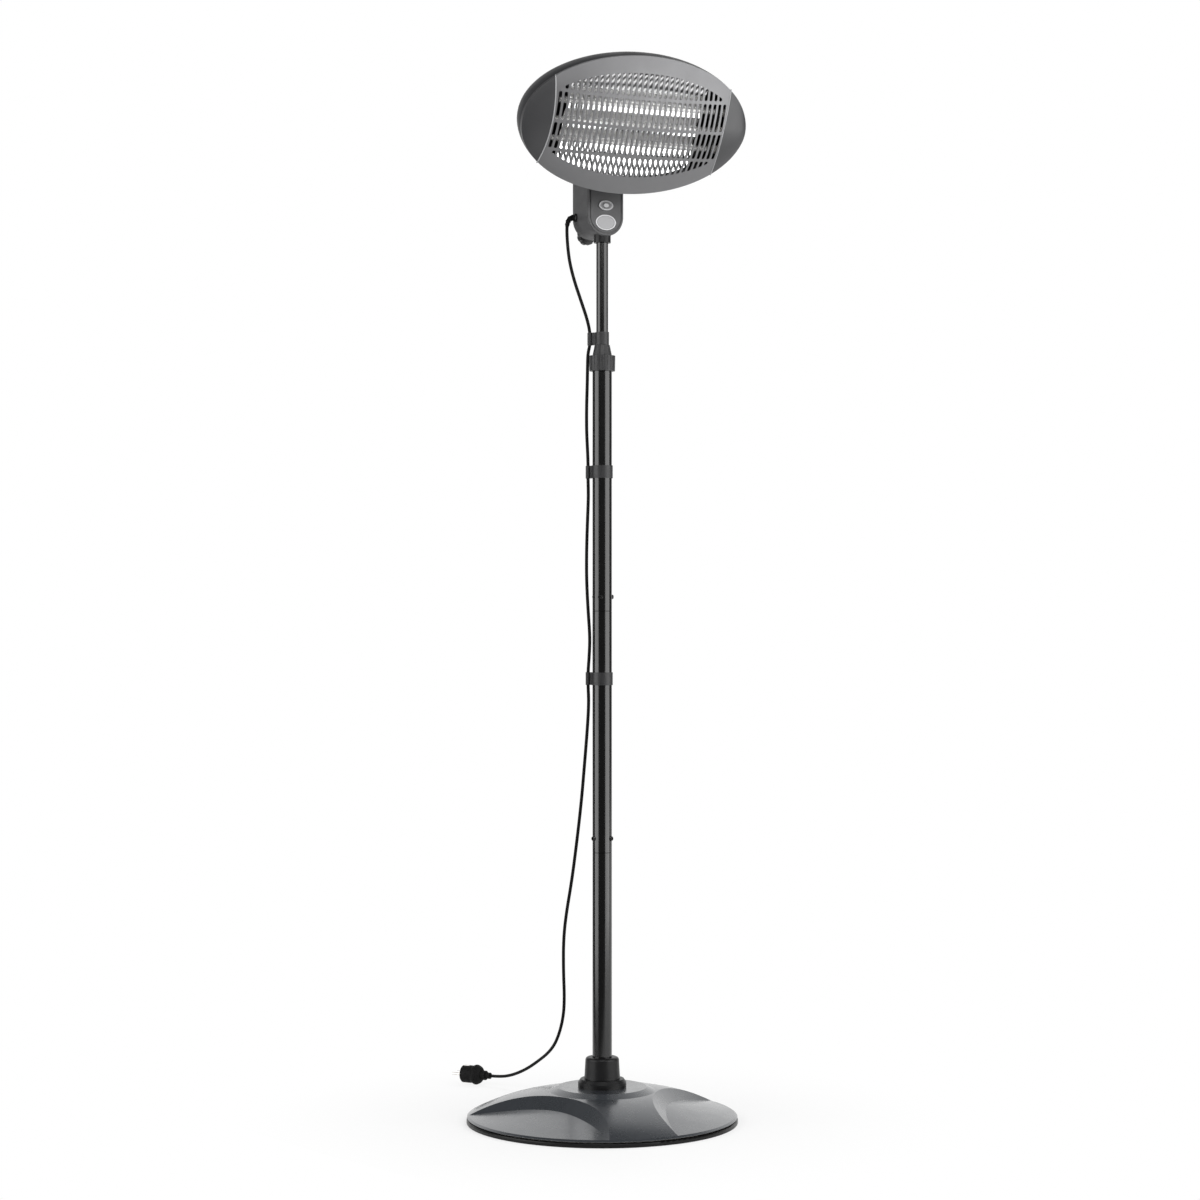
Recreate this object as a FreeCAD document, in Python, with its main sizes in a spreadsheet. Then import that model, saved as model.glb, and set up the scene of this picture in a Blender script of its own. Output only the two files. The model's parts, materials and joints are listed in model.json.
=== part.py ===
import FreeCAD, Part
import math
import os
import re

import Sketcher
from FreeCAD import Placement, Rotation, Vector

# Free-standing infrared heater: weighted round base, three-piece pole, sliding mast,
# control box and a tilting oval head with three quartz tubes.
# Millimetres, +Z up, front towards -Y, origin on the floor under the pole.

SIZES = {
    # base
    "base_radius": 250, "ring_height": 8, "ring_width": 13, "ring_round": 3,
    "ledge_height": 3, "ledge_width": 6, "cover_inset": 1, "cover_sheet": 1.6, "cover_lip": 3,
    "dome_foot_inset": 5, "dome_foot_height": 13.5, "dome_bulge": 7,
    "shoulder_radius": 98, "shoulder_height": 57, "plateau_radius": 82, "plateau_height": 64,
    "scallop_count": 3, "scallop_angle": 84, "scallop_axis_radius": 750, "scallop_reach": 100,
    "scallop_draft": 48, "scallop_floor_height": 40,
    "weight_gap": 0.4, "weight_plate": 8, "weight_hub_radius": 62, "weight_boss_radius": 40,
    "bolt_well_radius": 10, "bolt_well_depth": 11,
    "bolt_radius": 4, "bolt_head_flats": 13, "bolt_head_height": 5.5, "bolt_reach": 62,
    "washer_radius": 9.5, "washer_thick": 1.6,
    # pole socket
    "socket_flange_radius": 44.5, "socket_flange_height": 9, "socket_step_radius": 40,
    "socket_step_height": 15, "socket_low_radius": 33, "socket_top_radius": 31,
    "socket_height": 55, "socket_round": 5,
    # pole
    "pole_radius": 18, "pole_wall": 1.5, "pole_foot": 51, "pole_section": 445, "spigot_length": 55,
    "slip_gap": 0.05, "tube_edge": 0.5, "foot_plug_height": 14,
    "screw_rise": 26, "screw_radius": 2.5, "screw_head_radius": 5, "screw_head_height": 3.3,
    "screw_recess_radius": 2.2, "screw_recess_depth": 1.6, "screw_reach": 6,
    "joint_screw_count": 3, "lower_screw_angle": 188, "upper_screw_angle": 236,
    # clamp at the top of the pole
    "bush_depth": 60, "bush_flange": 3, "thread_radius": 17.5, "collet_start": 23,
    "collet_low_radius": 16, "collet_top_radius": 12.6, "collet_top": 42,
    "collet_slit": 1.5, "collet_slit_start": 14, "collet_slit_count": 2,
    "nut_drop": 2.5, "nut_low_radius": 23.6, "nut_top_radius": 24.2, "nut_ring_height": 28.3,
    "nut_cone_low_radius": 18, "nut_cone_top_radius": 14, "nut_height": 48, "nut_gap": 0.3,
    "rib_count": 24, "rib_groove_radius": 1.3, "rib_groove_depth": 0.8,
    # mast
    "mast_radius": 11, "mast_wall": 1.5, "mast_overlap": 256, "mast_length": 538, "guide_height": 25,
    # cord clips
    "clip_height": 23.5, "clip_wall": 1.5, "clip_angle": 135, "clip_gap": 0.3,
    "clip_lower_rise": 308.5, "clip_middle_rise": 245, "clip_upper_rise": 0.4,
    "pole_cord_radius": 28, "mast_cord_radius": 24.5, "clip_mouth": 4.6, "clip_web": 3,
    "cord_radius": 3,
    # control box
    "box_half_width": 36, "mast_seat": 1, "box_rise": 75, "box_front": -16, "box_rear": 53,
    "box_wall": 2.5, "face_depth": 4, "face_thick": 2.2, "face_lip": 4, "face_lip_wall": 1.6,
    "lip_gap": 0.2, "face_edge": 1.6, "groove_inset": 3.8, "groove_width": 2.4, "groove_depth": 1.2,
    "button_rise": 20, "button_width": 28, "button_tall": 18, "button_proud": 2.4,
    "button_rim": 2, "button_rim_depth": 2, "button_gap": 0.3, "button_border": 2,
    "button_dish_depth": 0.8, "button_centre_radius": 5, "button_centre_height": 1.2,
    "badge_drop": 11, "badge_half_width": 20, "badge_half_tall": 14, "badge_thick": 1.8,
    "badge_sink": 0.9, "badge_border": 1.6, "badge_field_depth": 0.5,
    "switch_plate_width": 46, "switch_plate_thick": 2, "switch_width": 22, "switch_tall": 18,
    "switch_depth": 17, "post_radius": 3, "post_spread": 19, "post_rise": 1.5,
    "terminal_width": 40, "terminal_depth": 14, "terminal_tall": 12, "terminal_rise": 45,
    "tip_switch_width": 18, "tip_switch_depth": 18, "tip_switch_tall": 22,
    "tip_switch_offset": 8, "tip_switch_rise": 11,
    "collar_radius": 15.8, "collar_drop": 11, "sleeve_radius": 13, "sleeve_cap": 4,
    "boss_radius": 7, "clamp_drop": 25,
    "stud_radius": 3, "stud_gap": 0.05, "knob_hub_radius": 9, "knob_hub_length": 12,
    "knob_radius": 17.5, "knob_thick": 13, "knob_edge": 2, "knob_lobe_count": 8,
    "knob_lobe_radius": 4.5, "knob_lobe_depth": 1.6, "knob_gap": 0.3,
    "gland_depth_place": 40, "gland_rise": 2.5, "gland_radius": 8, "gland_mouth_radius": 5.2,
    "gland_length": 4.5, "gland_thread_radius": 6, "gland_nut_radius": 7, "gland_nut_thick": 4,
    "gland_nut_gap": 0.5,
    # tilt hinge
    "hinge_depth_place": 12, "hinge_rise": 20, "barrel_radius": 13, "barrel_half_width": 18,
    "knuckle_foot_thick": 4, "knuckle_foot_half": 24, "pin_radius": 5, "pin_gap": 0.05,
    "cheek_thick": 3, "cheek_gap": 0.4, "cheek_round": 14,
    "pin_head_radius": 8.5, "pin_head_thick": 5, "pin_nut_radius": 8.5, "pin_nut_thick": 7,
    # head, in its own upright frame around the centre of the rim
    "head_tilt": 31, "hinge_back": 105.7, "hinge_down": 123.9,
    "rim_half_width": 219.5, "rim_half_tall": 131.3, "rim_depth": 10, "head_sheet": 1.5,
    "face_bulge": 29.7, "face_return": 2, "seam_half_width": 167.5, "seam_bow": 12.5, "seam_gap": 0.5,
    "grille_half_width": 200, "grille_half_tall": 97.5, "grille_rise": 5.5, "slot_pitch": 10.4,
    "slot_width": 6.2, "slot_columns": 32, "row_pitch": 55, "row_bar": 5,
    "shell_wall": 2, "shell_waist_depth": 40, "shell_waist_width": 212,
    "shell_waist_tall": 123, "shell_hip_depth": 68, "shell_hip_width": 174, "shell_hip_tall": 92,
    "shell_depth": 92, "shell_back_width": 118, "shell_back_tall": 55,
    "vent_count": 4, "vent_place": 62, "vent_length": 46, "vent_tall": 4, "vent_pitch": 11,
    "bracket_half_tall": 26, "bracket_rise": -26,
    "reflector_half_width": 132, "reflector_sheet": 0.8, "reflector_wing": 108, "wing_front": -4,
    "mirror_half_width": 205, "mirror_half_tall": 112,
    "tube_pitch": 36, "tube_depth": 6, "tube_radius": 5.5, "tube_wall": 1,
    "cusp_depth": 16, "trough_depth": 4,
    "holder_place": 158, "holder_thick": 1.2, "holder_front": -6, "holder_back": 30,
    "holder_half_tall": 66, "holder_leg_half": 24,
    "ceramic_radius": 8, "ceramic_length": 20, "tube_overlap": 11, "coil_gap": 0.05, "rest_gap": 0.2,
    "stand_off_radius": 5, "stand_off_place": 118,
    "cutout_width": 22, "cutout_depth": 9, "cutout_tall": 12,
    # plug
    "plug_length": 62, "plug_neck_radius": 6.2, "plug_neck_length": 10, "plug_collar_radius": 9.3,
    "plug_collar_length": 9, "plug_shoulder_radius": 18.2, "plug_shoulder_place": 8, "plug_swell": 1.6,
    "plug_hump_length": 9, "plug_hump_rise": 1.4, "plug_dip_length": 7, "plug_dip": 0.6,
    "plug_spigot_radius": 17.2, "plug_spigot_length": 15, "plug_edge": 1.5,
    "pin_spread": 9.5, "plug_pin_radius": 2.4, "plug_pin_length": 19, "plug_turn": 128.5,
    "earth_width": 8, "earth_thick": 1, "earth_length": 14,
    "overrun": 2,
    # shares of the sizes that they follow
    "screw_taper_share": 0.72, "arc_share": 0.9999, "cheek_low_share": 0.9, "cheek_side_share": 0.4,
    "face_spread_share": 1.02,
}

# Heights worked out from the sizes.
PLACES = {
    "pole_top": "pole_foot + 3 * pole_section",
    "clip_lower_foot": "pole_foot + pole_section + clip_lower_rise",
    "clip_middle_foot": "pole_foot + 2 * pole_section + clip_middle_rise",
    "mast_foot": "pole_top - mast_overlap",
    "mast_top": "mast_foot + mast_length",
    "box_arc_height": "mast_top - mast_seat",
    "box_top": "box_arc_height + box_rise",
    "sleeve_top": "mast_top + sleeve_cap",
    "button_height": "box_arc_height + button_rise",
    "badge_height": "box_arc_height - badge_drop",
    "clamp_height": "box_arc_height - clamp_drop",
    "gland_height": "box_arc_height + gland_rise",
    "terminal_height": "box_arc_height + terminal_rise",
    "tip_switch_height": "box_arc_height + tip_switch_rise",
    "hinge_height": "box_top + hinge_rise",
}

# Stations of the face's upright arcs, as shares of the half width.
STATION_SHARES = (-0.995, -0.96, -0.89, -0.78, -0.6, -0.35, 0, 0.35, 0.6, 0.78, 0.89, 0.96, 0.995)

# Share of a run that the arc of a bend in the cord may take.
BEND_SHARE = 0.45

# Route of the mains cord, chosen by hand from the gland down to the plug (x, y, z).
CORD_TOP = [
    (-40.5, 40, 1669.5), (-44.5, 40, 1669.1), (-49.6, 41, 1665.1), (-52.8, 41, 1656.5),
    (-53.6, 40.4, 1644), (-53.4, 39.2, 1628), (-52.3, 37.4, 1607), (-49.6, 35.2, 1583),
    (-42.9, 30.3, 1551), (-32, 23.4, 1513), (-22.5, 18.4, 1481), (-17.33, 17.33, 1458),
    (-17.33, 17.33, 1443),
]
CORD_MIDDLE = [
    (-17.33, 17.33, 1443), (-17.33, 17.33, 1432), (-20.1, 20.1, 1416), (-20.5, 20.6, 1392),
    (-20.9, 21, 1359), (-21.9, 21.9, 1317), (-21.8, 22, 1272), (-20.3, 20.6, 1235),
    (-19.8, 19.8, 1212), (-19.8, 19.8, 1197),
]
CORD_LOWER = [
    (-19.8, 19.8, 1197), (-19.8, 19.8, 1182), (-19.2, 19.4, 1152), (-20.6, 20.8, 1106),
    (-21.9, 21.9, 1052), (-21.9, 22, 998), (-19.7, 19.9, 942), (-17, 17.2, 892),
    (-18.3, 18.2, 856), (-19.8, 19.8, 830), (-19.8, 19.8, 802), (-18.5, 19.2, 772),
    (-20, 22, 726), (-23.2, 26.8, 665), (-26.9, 33.8, 590), (-30.6, 46.4, 515),
    (-33.6, 63.1, 440), (-37.4, 82.3, 373), (-36.1, 97.1, 324), (-27.5, 117.3, 265),
    (-14.1, 143.1, 204), (-6.4, 169.2, 162), (0.3, 213.3, 117), (0.6, 251.5, 89),
    (-3.5, 299.3, 64), (-11.3, 338.9, 43), (-24, 377.4, 26.5), (-39.16, 402.72, 19.7),
    (-54.1, 421.5, 19.7),
]

os.makedirs("parts", exist_ok=True)
doc = FreeCAD.newDocument("infrared_heater")
sheet = doc.addObject("Spreadsheet::Sheet", "sizes")
for row, (alias, amount) in enumerate(SIZES.items(), 1):
    sheet.set(f"A{row}", alias)
    sheet.set(f"B{row}", str(amount))
    sheet.setAlias(f"B{row}", alias)
doc.recompute()

WORD = re.compile(r"[a-z][a-z_]*")
NODES = []


def formula(text):
    """Turn the names of sizes and heights into references to the sheet."""
    def refer(word):
        name = word[0]
        if name in PLACES:
            return f"({formula(PLACES[name])})"
        return "sizes." + name if name in SIZES else name
    return WORD.sub(refer, text)


def value(text):
    """Amount of a formula in the sheet's names."""
    amount = sheet.evalExpression(formula(text))
    return float(getattr(amount, "Value", amount))


def bind(obj, **formulas):
    for prop, text in formulas.items():
        obj.setExpression(prop, formula(text))


def node(obj, label):
    """Register a finished piece under the name of its file."""
    obj.Label = label
    NODES.append(obj)
    return obj


def place(obj, x="0", y="0", z="0", axis=None, turn="0"):
    """Put a piece at a bound place, turned by a bound angle about an axis."""
    if axis is not None:
        obj.Placement = Placement(Vector(), Rotation(axis, 1))
        obj.setExpression("Placement.Rotation.Angle", formula(turn))
    for name, text in (("x", x), ("y", y), ("z", z)):
        obj.setExpression("Placement.Base." + name, formula(text))
    return obj


def tilted(obj):
    """Hang a head piece on the hinge, tipped down by the head's tilt."""
    back, down = "hinge_back", "hinge_down"
    place(obj, "0",
          f"hinge_depth_place - {back} * cos(head_tilt) - {down} * sin(head_tilt)",
          f"hinge_height - {back} * sin(head_tilt) + {down} * cos(head_tilt)",
          Vector(1, 0, 0), "head_tilt")
    return obj


def origin_part(body, role):
    return next(part for part in body.Origin.OriginFeatures if part.Role == role)


def new_sketch(body, name, plane, lift):
    sketch = body.newObject("Sketcher::SketchObject", name)
    sketch.AttachmentSupport = [(origin_part(body, plane), "")]
    sketch.MapMode = "FlatFace"
    sketch.setExpression("AttachmentOffset.Base.z", formula(lift))
    return sketch


def pin_down(sketch, piece, point, across, up):
    """Fix a sketch point at two bound distances from the sketch's origin."""
    for kind, text, axis in (("DistanceX", across, -2), ("DistanceY", up, -1)):
        if text == "0":
            sketch.addConstraint(Sketcher.Constraint("PointOnObject", piece, point, axis))
            continue
        index = sketch.addConstraint(Sketcher.Constraint(kind, -1, 1, piece, point, value(text)))
        sketch.setExpression(f"Constraints[{index}]", formula(text))


def outline(body, name, plane, corners, lift="0"):
    """Closed sketch through bound corners; a third entry is the rise of an arc to the next corner."""
    sketch = new_sketch(body, name, plane, lift)
    spots = [Vector(value(corner[0]), value(corner[1]), 0) for corner in corners]
    following = spots[1:] + spots[:1]
    points = []
    for corner, start, end in zip(corners, spots, following):
        rise = value(corner[2]) if len(corner) > 2 else 0
        if rise == 0:
            sketch.addGeometry(Part.LineSegment(start, end))
        else:
            chord = end - start
            side = Vector(-chord.y, chord.x, 0).normalize() * rise
            sketch.addGeometry(Part.Arc(start, (start + end) / 2 + side, end))
        points.append((2, 1) if rise > 0 else (1, 2))
    count = len(corners)
    for index, corner in enumerate(corners):
        after = (index + 1) % count
        first, last = points[index]
        join = Sketcher.Constraint("Coincident", index, last, after, points[after][0])
        sketch.addConstraint(join)
        pin_down(sketch, index, first, corner[0], corner[1])
        if len(corner) > 2:
            far = corners[after]
            squared = f"(({far[0]}) - ({corner[0]}))^2 + (({far[1]}) - ({corner[1]}))^2"
            radius = f"({squared}) / (8 * abs({corner[2]})) + abs({corner[2]}) / 2"
            bend = sketch.addConstraint(Sketcher.Constraint("Radius", index, value(radius)))
            sketch.setExpression(f"Constraints[{bend}]", formula(radius))
    return sketch


def ring_sketch(body, name, plane, radius, across="0", up="0", lift="0"):
    """Circle at a bound place."""
    sketch = new_sketch(body, name, plane, lift)
    centre = Vector(value(across), value(up), 0)
    sketch.addGeometry(Part.Circle(centre, Vector(0, 0, 1), value(radius)))
    index = sketch.addConstraint(Sketcher.Constraint("Radius", 0, value(radius)))
    sketch.setExpression(f"Constraints[{index}]", formula(radius))
    pin_down(sketch, 0, 3, across, up)
    return sketch


def oval_sketch(body, name, plane, half_width, half_tall, up="0", lift="0"):
    """Ellipse with its long axis level, at a bound height."""
    sketch = new_sketch(body, name, plane, lift)
    middle = Vector(0, value(up), 0)
    wide = middle + Vector(value(half_width), 0, 0)
    tall = middle + Vector(0, value(half_tall), 0)
    sketch.addGeometry(Part.Ellipse(wide, tall, middle))
    sketch.exposeInternalGeometry(0)
    pin_down(sketch, 0, 3, "0", up)
    pin_down(sketch, 1, 1, half_width, up)
    index = sketch.addConstraint(Sketcher.Constraint("Distance", 2, 2 * value(half_tall)))
    sketch.setExpression(f"Constraints[{index}]", formula(f"2 * ({half_tall})"))
    return sketch


def new_body(name):
    return doc.addObject("PartDesign::Body", name)


def feature(body, kind, name, sketch, **formulas):
    made = body.newObject("PartDesign::" + kind, name)
    made.Profile = sketch
    bind(made, **formulas)
    return made


def turned(name, corners, plane="XZ_Plane", axis="V_Axis"):
    """Body turned from one half profile."""
    body = new_body(name)
    sketch = outline(body, name + "_profile", plane, corners)
    turn = feature(body, "Revolution", name + "_turn", sketch)
    turn.ReferenceAxis = (sketch, [axis])
    turn.Angle = 360
    return body


def padded(name, plane, corners, length, lift="0", midplane=False):
    """Body padded from one outline."""
    body = new_body(name)
    sketch = outline(body, name + "_outline", plane, corners, lift)
    pad = feature(body, "Pad", name + "_pad", sketch, Length=length)
    pad.Midplane = midplane
    return body


def solid(kind, name, at=("0", "0", "0"), along=None, **formulas):
    """Primitive with bound sizes; along turns a cylinder's axis from Z to X or Y."""
    made = doc.addObject("Part::" + kind, name)
    bind(made, **formulas)
    if along == "X":
        made.Placement = Placement(Vector(), Rotation(Vector(0, 1, 0), 90))
    if along == "Y":
        made.Placement = Placement(Vector(), Rotation(Vector(1, 0, 0), -90))
    for name, text in zip("xyz", at):
        made.setExpression("Placement.Base." + name, formula(text))
    return made


def cylinder(name, radius, height, at=("0", "0", "0"), along=None):
    return solid("Cylinder", name, at, along, Radius=radius, Height=height)


def block(name, low, high):
    """Box between two bound corners."""
    sides = [f"({far}) - ({near})" for near, far in zip(low, high)]
    return solid("Box", name, low, None, Length=sides[0], Width=sides[1], Height=sides[2])


def cut(name, base, tool):
    made = doc.addObject("Part::Cut", name)
    made.Base = base
    made.Tool = tool
    return made


def common(name, base, tool):
    made = doc.addObject("Part::Common", name)
    made.Base = base
    made.Tool = tool
    return made


def fuse(name, *pieces):
    made = doc.addObject("Part::MultiFuse", name)
    made.Shapes = list(pieces)
    return made


def group(name, pieces):
    made = doc.addObject("Part::Compound", name)
    made.Links = pieces
    return made


def around(name, count, first_angle, make):
    """Copies of a piece spread evenly around Z, the first at a bound angle."""
    copies = []
    for index in range(int(SIZES[count])):
        copy = make(f"{name}_{index + 1}")
        place(copy, axis=Vector(0, 0, 1), turn=f"{first_angle} + {index} * 360 / {count}")
        copies.append(copy)
    return copies


# Base

def dome_form(name, drop, growth):
    """Top of the base: a high dome with three scallops cut out, over a low cone that is their floor."""
    edge = f"base_radius - cover_inset + {growth}"
    foot = ("base_radius - dome_foot_inset", f"dome_foot_height - {drop}")
    floor = f"ring_height - {growth}"
    lip = f"ring_height + cover_lip - {drop}"
    shoulder = ("shoulder_radius", f"shoulder_height - {drop}")
    high = turned(name + "_high", [
        ("0", floor), (edge, floor), (edge, lip), foot + ("-dome_bulge",), shoulder,
        ("plateau_radius", f"plateau_height - {drop}"), ("0", f"plateau_height - {drop}")])
    low = turned(name + "_low", [
        ("0", floor), (edge, floor), (edge, lip), foot,
        ("shoulder_radius", f"scallop_floor_height - {drop}"),
        ("0", f"scallop_floor_height - {drop}")])

    def scallop(label):
        reach = "scallop_axis_radius - scallop_reach"
        cutter = solid("Cone", label + "_cone", ("scallop_axis_radius", "0", "0"),
                       Radius1=f"{reach} - (shoulder_height - {drop}) * tan(scallop_draft)",
                       Radius2=f"{reach} + (plateau_height - shoulder_height) * tan(scallop_draft)",
                       Height=f"plateau_height - {drop}")
        return group(label, [cutter])

    carved = cut(name + "_carved", high, fuse(name + "_scallops", *around(
        name + "_scallop", "scallop_count", "scallop_angle", scallop)))
    return fuse(name, carved, low)


def base():
    outer = dome_form("cover_outside", "0", "0")
    inner = dome_form("cover_inside", "cover_sheet", "overrun")
    sheet_metal = cut("cover_sheet_metal", outer, inner)
    hole = cylinder("cover_hole", "pole_radius + slip_gap", "plateau_height + overrun")
    node(cut("cover_drilled", sheet_metal, hole), "base_cover")

    inside = "base_radius - ring_width"
    node(turned("edge_ring", [
        (inside, "0"), ("base_radius", "0"),
        ("base_radius", "ring_height - ring_round", "ring_round / -4"),
        ("base_radius - ring_round", "ring_height"),
        (f"{inside} + ledge_width", "ring_height"), (f"{inside} + ledge_width", "ledge_height"),
        (inside, "ledge_height")]), "base_edge_ring")

    rim = f"{inside} + ledge_width - weight_gap"
    plate = "ledge_height + weight_plate"
    well = "ledge_height + bolt_well_depth"
    node(turned("ballast", [
        ("bolt_well_radius", "ledge_height"), (rim, "ledge_height"), (rim, plate),
        ("weight_hub_radius", plate), ("weight_boss_radius", "pole_foot"),
        ("bolt_radius + slip_gap", "pole_foot"), ("bolt_radius + slip_gap", well),
        ("bolt_well_radius", well)]), "base_weight")
    node(turned("bolt_washer", [
        ("bolt_radius + slip_gap", f"{well} - washer_thick"),
        ("washer_radius", f"{well} - washer_thick"),
        ("washer_radius", well), ("bolt_radius + slip_gap", well)]), "base_washer")
    seat = f"{well} - washer_thick"
    head = solid("Prism", "bolt_head", ("0", "0", f"{seat} - bolt_head_height"),
                 Circumradius="bolt_head_flats / sqrt(3)", Height="bolt_head_height")
    head.Polygon = 6
    shank = cylinder("bolt_shank", "bolt_radius", f"bolt_reach - ({seat})", ("0", "0", seat))
    node(fuse("foot_bolt", head, shank), "base_bolt")

    top = "plateau_height"
    node(turned("socket", [
        ("pole_radius + slip_gap", top), ("socket_flange_radius", top),
        ("socket_flange_radius", f"{top} + socket_flange_height"),
        ("socket_step_radius", f"{top} + socket_step_height"),
        ("socket_low_radius", f"{top} + socket_step_height"),
        ("socket_top_radius", f"{top} + socket_height - socket_round", "socket_round / -4"),
        ("socket_top_radius - socket_round", f"{top} + socket_height"),
        ("pole_radius + slip_gap", f"{top} + socket_height")]), "pole_socket")


# Pole

def screw_holes(name, joint, first_angle):
    def drill(label):
        bore = cylinder(label + "_bore", "screw_radius + slip_gap", "pole_radius + overrun",
                        ("0", "0", f"{joint} + screw_rise"), "X")
        return group(label, [bore])
    return around(name, "joint_screw_count", first_angle, drill)


def joint_screws(name, joint, first_angle):
    def screw(label):
        height = f"{joint} + screw_rise"
        head = solid("Cone", label + "_head", ("pole_radius", "0", height), "X",
                     Radius1="screw_head_radius", Radius2="screw_head_radius * screw_taper_share",
                     Height="screw_head_height")
        recess = cylinder(label + "_recess", "screw_recess_radius", "screw_recess_depth + overrun",
                          ("pole_radius + screw_head_height - screw_recess_depth", "0", height), "X")
        shank = cylinder(label + "_shank", "screw_radius", "screw_reach",
                         ("pole_radius - screw_reach", "0", height), "X")
        return fuse(label, cut(label + "_socketed", head, recess), shank)
    return around(name, "joint_screw_count", first_angle, screw)


def pole_tube(name, foot, spigot, drills):
    bore = "pole_radius - pole_wall"
    neck = f"{bore} - slip_gap"
    top = f"{foot} + pole_section"
    corners = [(bore, foot), ("pole_radius - tube_edge", foot), ("pole_radius", f"{foot} + tube_edge"),
               ("pole_radius", f"{top} - tube_edge"), ("pole_radius - tube_edge", top)]
    if spigot:
        corners += [(neck, top), (neck, f"{top} + spigot_length"),
                    (f"{neck} - pole_wall", f"{top} + spigot_length"),
                    (f"{neck} - pole_wall", f"{top} - pole_wall"), (bore, f"{top} - 2 * pole_wall")]
    else:
        corners += [(bore, top)]
    tube = turned(name + "_tube", corners)
    node(cut(name + "_drilled", tube, fuse(name + "_drills", *drills)), name)


def pole():
    lower_joint = "pole_foot + pole_section"
    upper_joint = "pole_foot + 2 * pole_section"
    pole_tube("pole_lower", "pole_foot", True, screw_holes("low_a", lower_joint, "lower_screw_angle"))
    pole_tube("pole_middle", lower_joint, True,
              screw_holes("low_b", lower_joint, "lower_screw_angle")
              + screw_holes("up_a", upper_joint, "upper_screw_angle"))
    pole_tube("pole_upper", upper_joint, False,
              screw_holes("up_b", upper_joint, "upper_screw_angle"))
    node(group("screw_set", joint_screws("low_screw", lower_joint, "lower_screw_angle")
               + joint_screws("up_screw", upper_joint, "upper_screw_angle")), "pole_joint_screws")
    plug = "pole_radius - pole_wall - slip_gap"
    node(turned("foot_plug", [
        ("bolt_radius + slip_gap", "pole_foot"), (plug, "pole_foot"),
        (plug, "pole_foot + foot_plug_height"),
        ("bolt_radius + slip_gap", "pole_foot + foot_plug_height")]), "pole_foot_plug")


# Clamp nut and mast

def pole_clamp():
    top = "pole_top"
    bore = "mast_radius + pin_gap"
    sleeve = "pole_radius - pole_wall - slip_gap"
    bush = turned("bush", [
        (bore, f"{top} - bush_depth"), (sleeve, f"{top} - bush_depth"), (sleeve, top),
        ("pole_radius", top), ("pole_radius", f"{top} + bush_flange"),
        ("thread_radius", f"{top} + bush_flange"), ("thread_radius", f"{top} + collet_start"),
        ("collet_low_radius", f"{top} + collet_start"), ("collet_top_radius", f"{top} + collet_top"),
        (bore, f"{top} + collet_top")])

    def slit(label):
        low = ("-thread_radius - overrun", "collet_slit / -2", f"{top} + collet_slit_start")
        high = ("thread_radius + overrun", "collet_slit / 2", f"{top} + collet_top + overrun")
        return group(label, [block(label + "_saw", low, high)])

    half_turn = []
    for index in range(int(SIZES["collet_slit_count"])):
        saw = slit(f"collet_slit_{index + 1}")
        place(saw, axis=Vector(0, 0, 1), turn=f"{index} * 180 / collet_slit_count")
        half_turn.append(saw)
    node(cut("bush_slit", bush, fuse("collet_slits", *half_turn)), "top_bush")

    foot = f"{top} - nut_drop"
    nut = turned("nut", [
        ("pole_radius + nut_gap", foot), ("nut_low_radius", foot),
        ("nut_top_radius", f"{foot} + nut_ring_height"),
        ("nut_cone_low_radius", f"{foot} + nut_ring_height"),
        ("nut_cone_top_radius", f"{foot} + nut_height"),
        ("mast_radius + nut_gap", f"{foot} + nut_height"),
        ("mast_radius + nut_gap", f"{top} + collet_top + nut_gap"),
        ("collet_top_radius + nut_gap", f"{top} + collet_top + nut_gap"),
        ("collet_low_radius + nut_gap", f"{top} + collet_start + nut_gap"),
        ("pole_radius + nut_gap", f"{top} + collet_start + nut_gap")])
    groove = ring_sketch(nut, "nut_groove", "XY_Plane", "rib_groove_radius",
                         "nut_top_radius + rib_groove_radius - rib_groove_depth", "0",
                         f"{foot} + nut_ring_height")
    pocket = feature(nut, "Pocket", "nut_groove_cut", groove, Length="nut_ring_height + overrun")
    ribs = nut.newObject("PartDesign::PolarPattern", "nut_ribs")
    ribs.Originals = [pocket]
    ribs.Axis = (origin_part(nut, "Z_Axis"), [""])
    ribs.Angle = 360
    bind(ribs, Occurrences="rib_count")
    nut.Tip = ribs
    node(nut, "lock_nut")


def mast():
    node(turned("mast_pipe", [
        ("mast_radius - mast_wall", "mast_foot"), ("mast_radius", "mast_foot"),
        ("mast_radius", "mast_top"), ("mast_radius - mast_wall", "mast_top")]), "mast_tube")
    slide = "pole_radius - pole_wall - pin_gap * 2"
    node(turned("guide_ring", [
        ("mast_radius + slip_gap", "mast_foot"), (slide, "mast_foot"),
        (slide, "mast_foot + guide_height"), ("mast_radius + slip_gap", "mast_foot + guide_height")]),
        "mast_guide")


def cord_clip(name, tube_radius, cord_place, foot):
    """Band round a tube with an open hook that holds the cord."""
    hook = "cord_radius + clip_gap"
    band = cylinder(name + "_band", f"{tube_radius} + slip_gap + clip_wall", "clip_height")
    holder = cylinder(name + "_holder", f"{hook} + clip_wall", "clip_height", (cord_place, "0", "0"))
    web = block(name + "_web", (tube_radius, "clip_web / -2", "0"),
                (f"{cord_place}", "clip_web / 2", "clip_height"))
    body = fuse(name + "_blank", band, holder, web)
    bore = cylinder(name + "_bore", f"{tube_radius} + slip_gap", "clip_height + 2 * overrun",
                    ("0", "0", "-overrun"))
    lane = cylinder(name + "_lane", hook, "clip_height + 2 * overrun", (cord_place, "0", "-overrun"))
    mouth = block(name + "_mouth", (cord_place, "0", "-overrun"),
                  (f"{cord_place} + {hook} + clip_wall + overrun", "clip_mouth", "clip_height + overrun"))
    made = cut(name + "_cut", body, fuse(name + "_tools", bore, lane, mouth))
    place(made, "0", "0", foot, Vector(0, 0, 1), "clip_angle")
    node(made, name)


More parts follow.
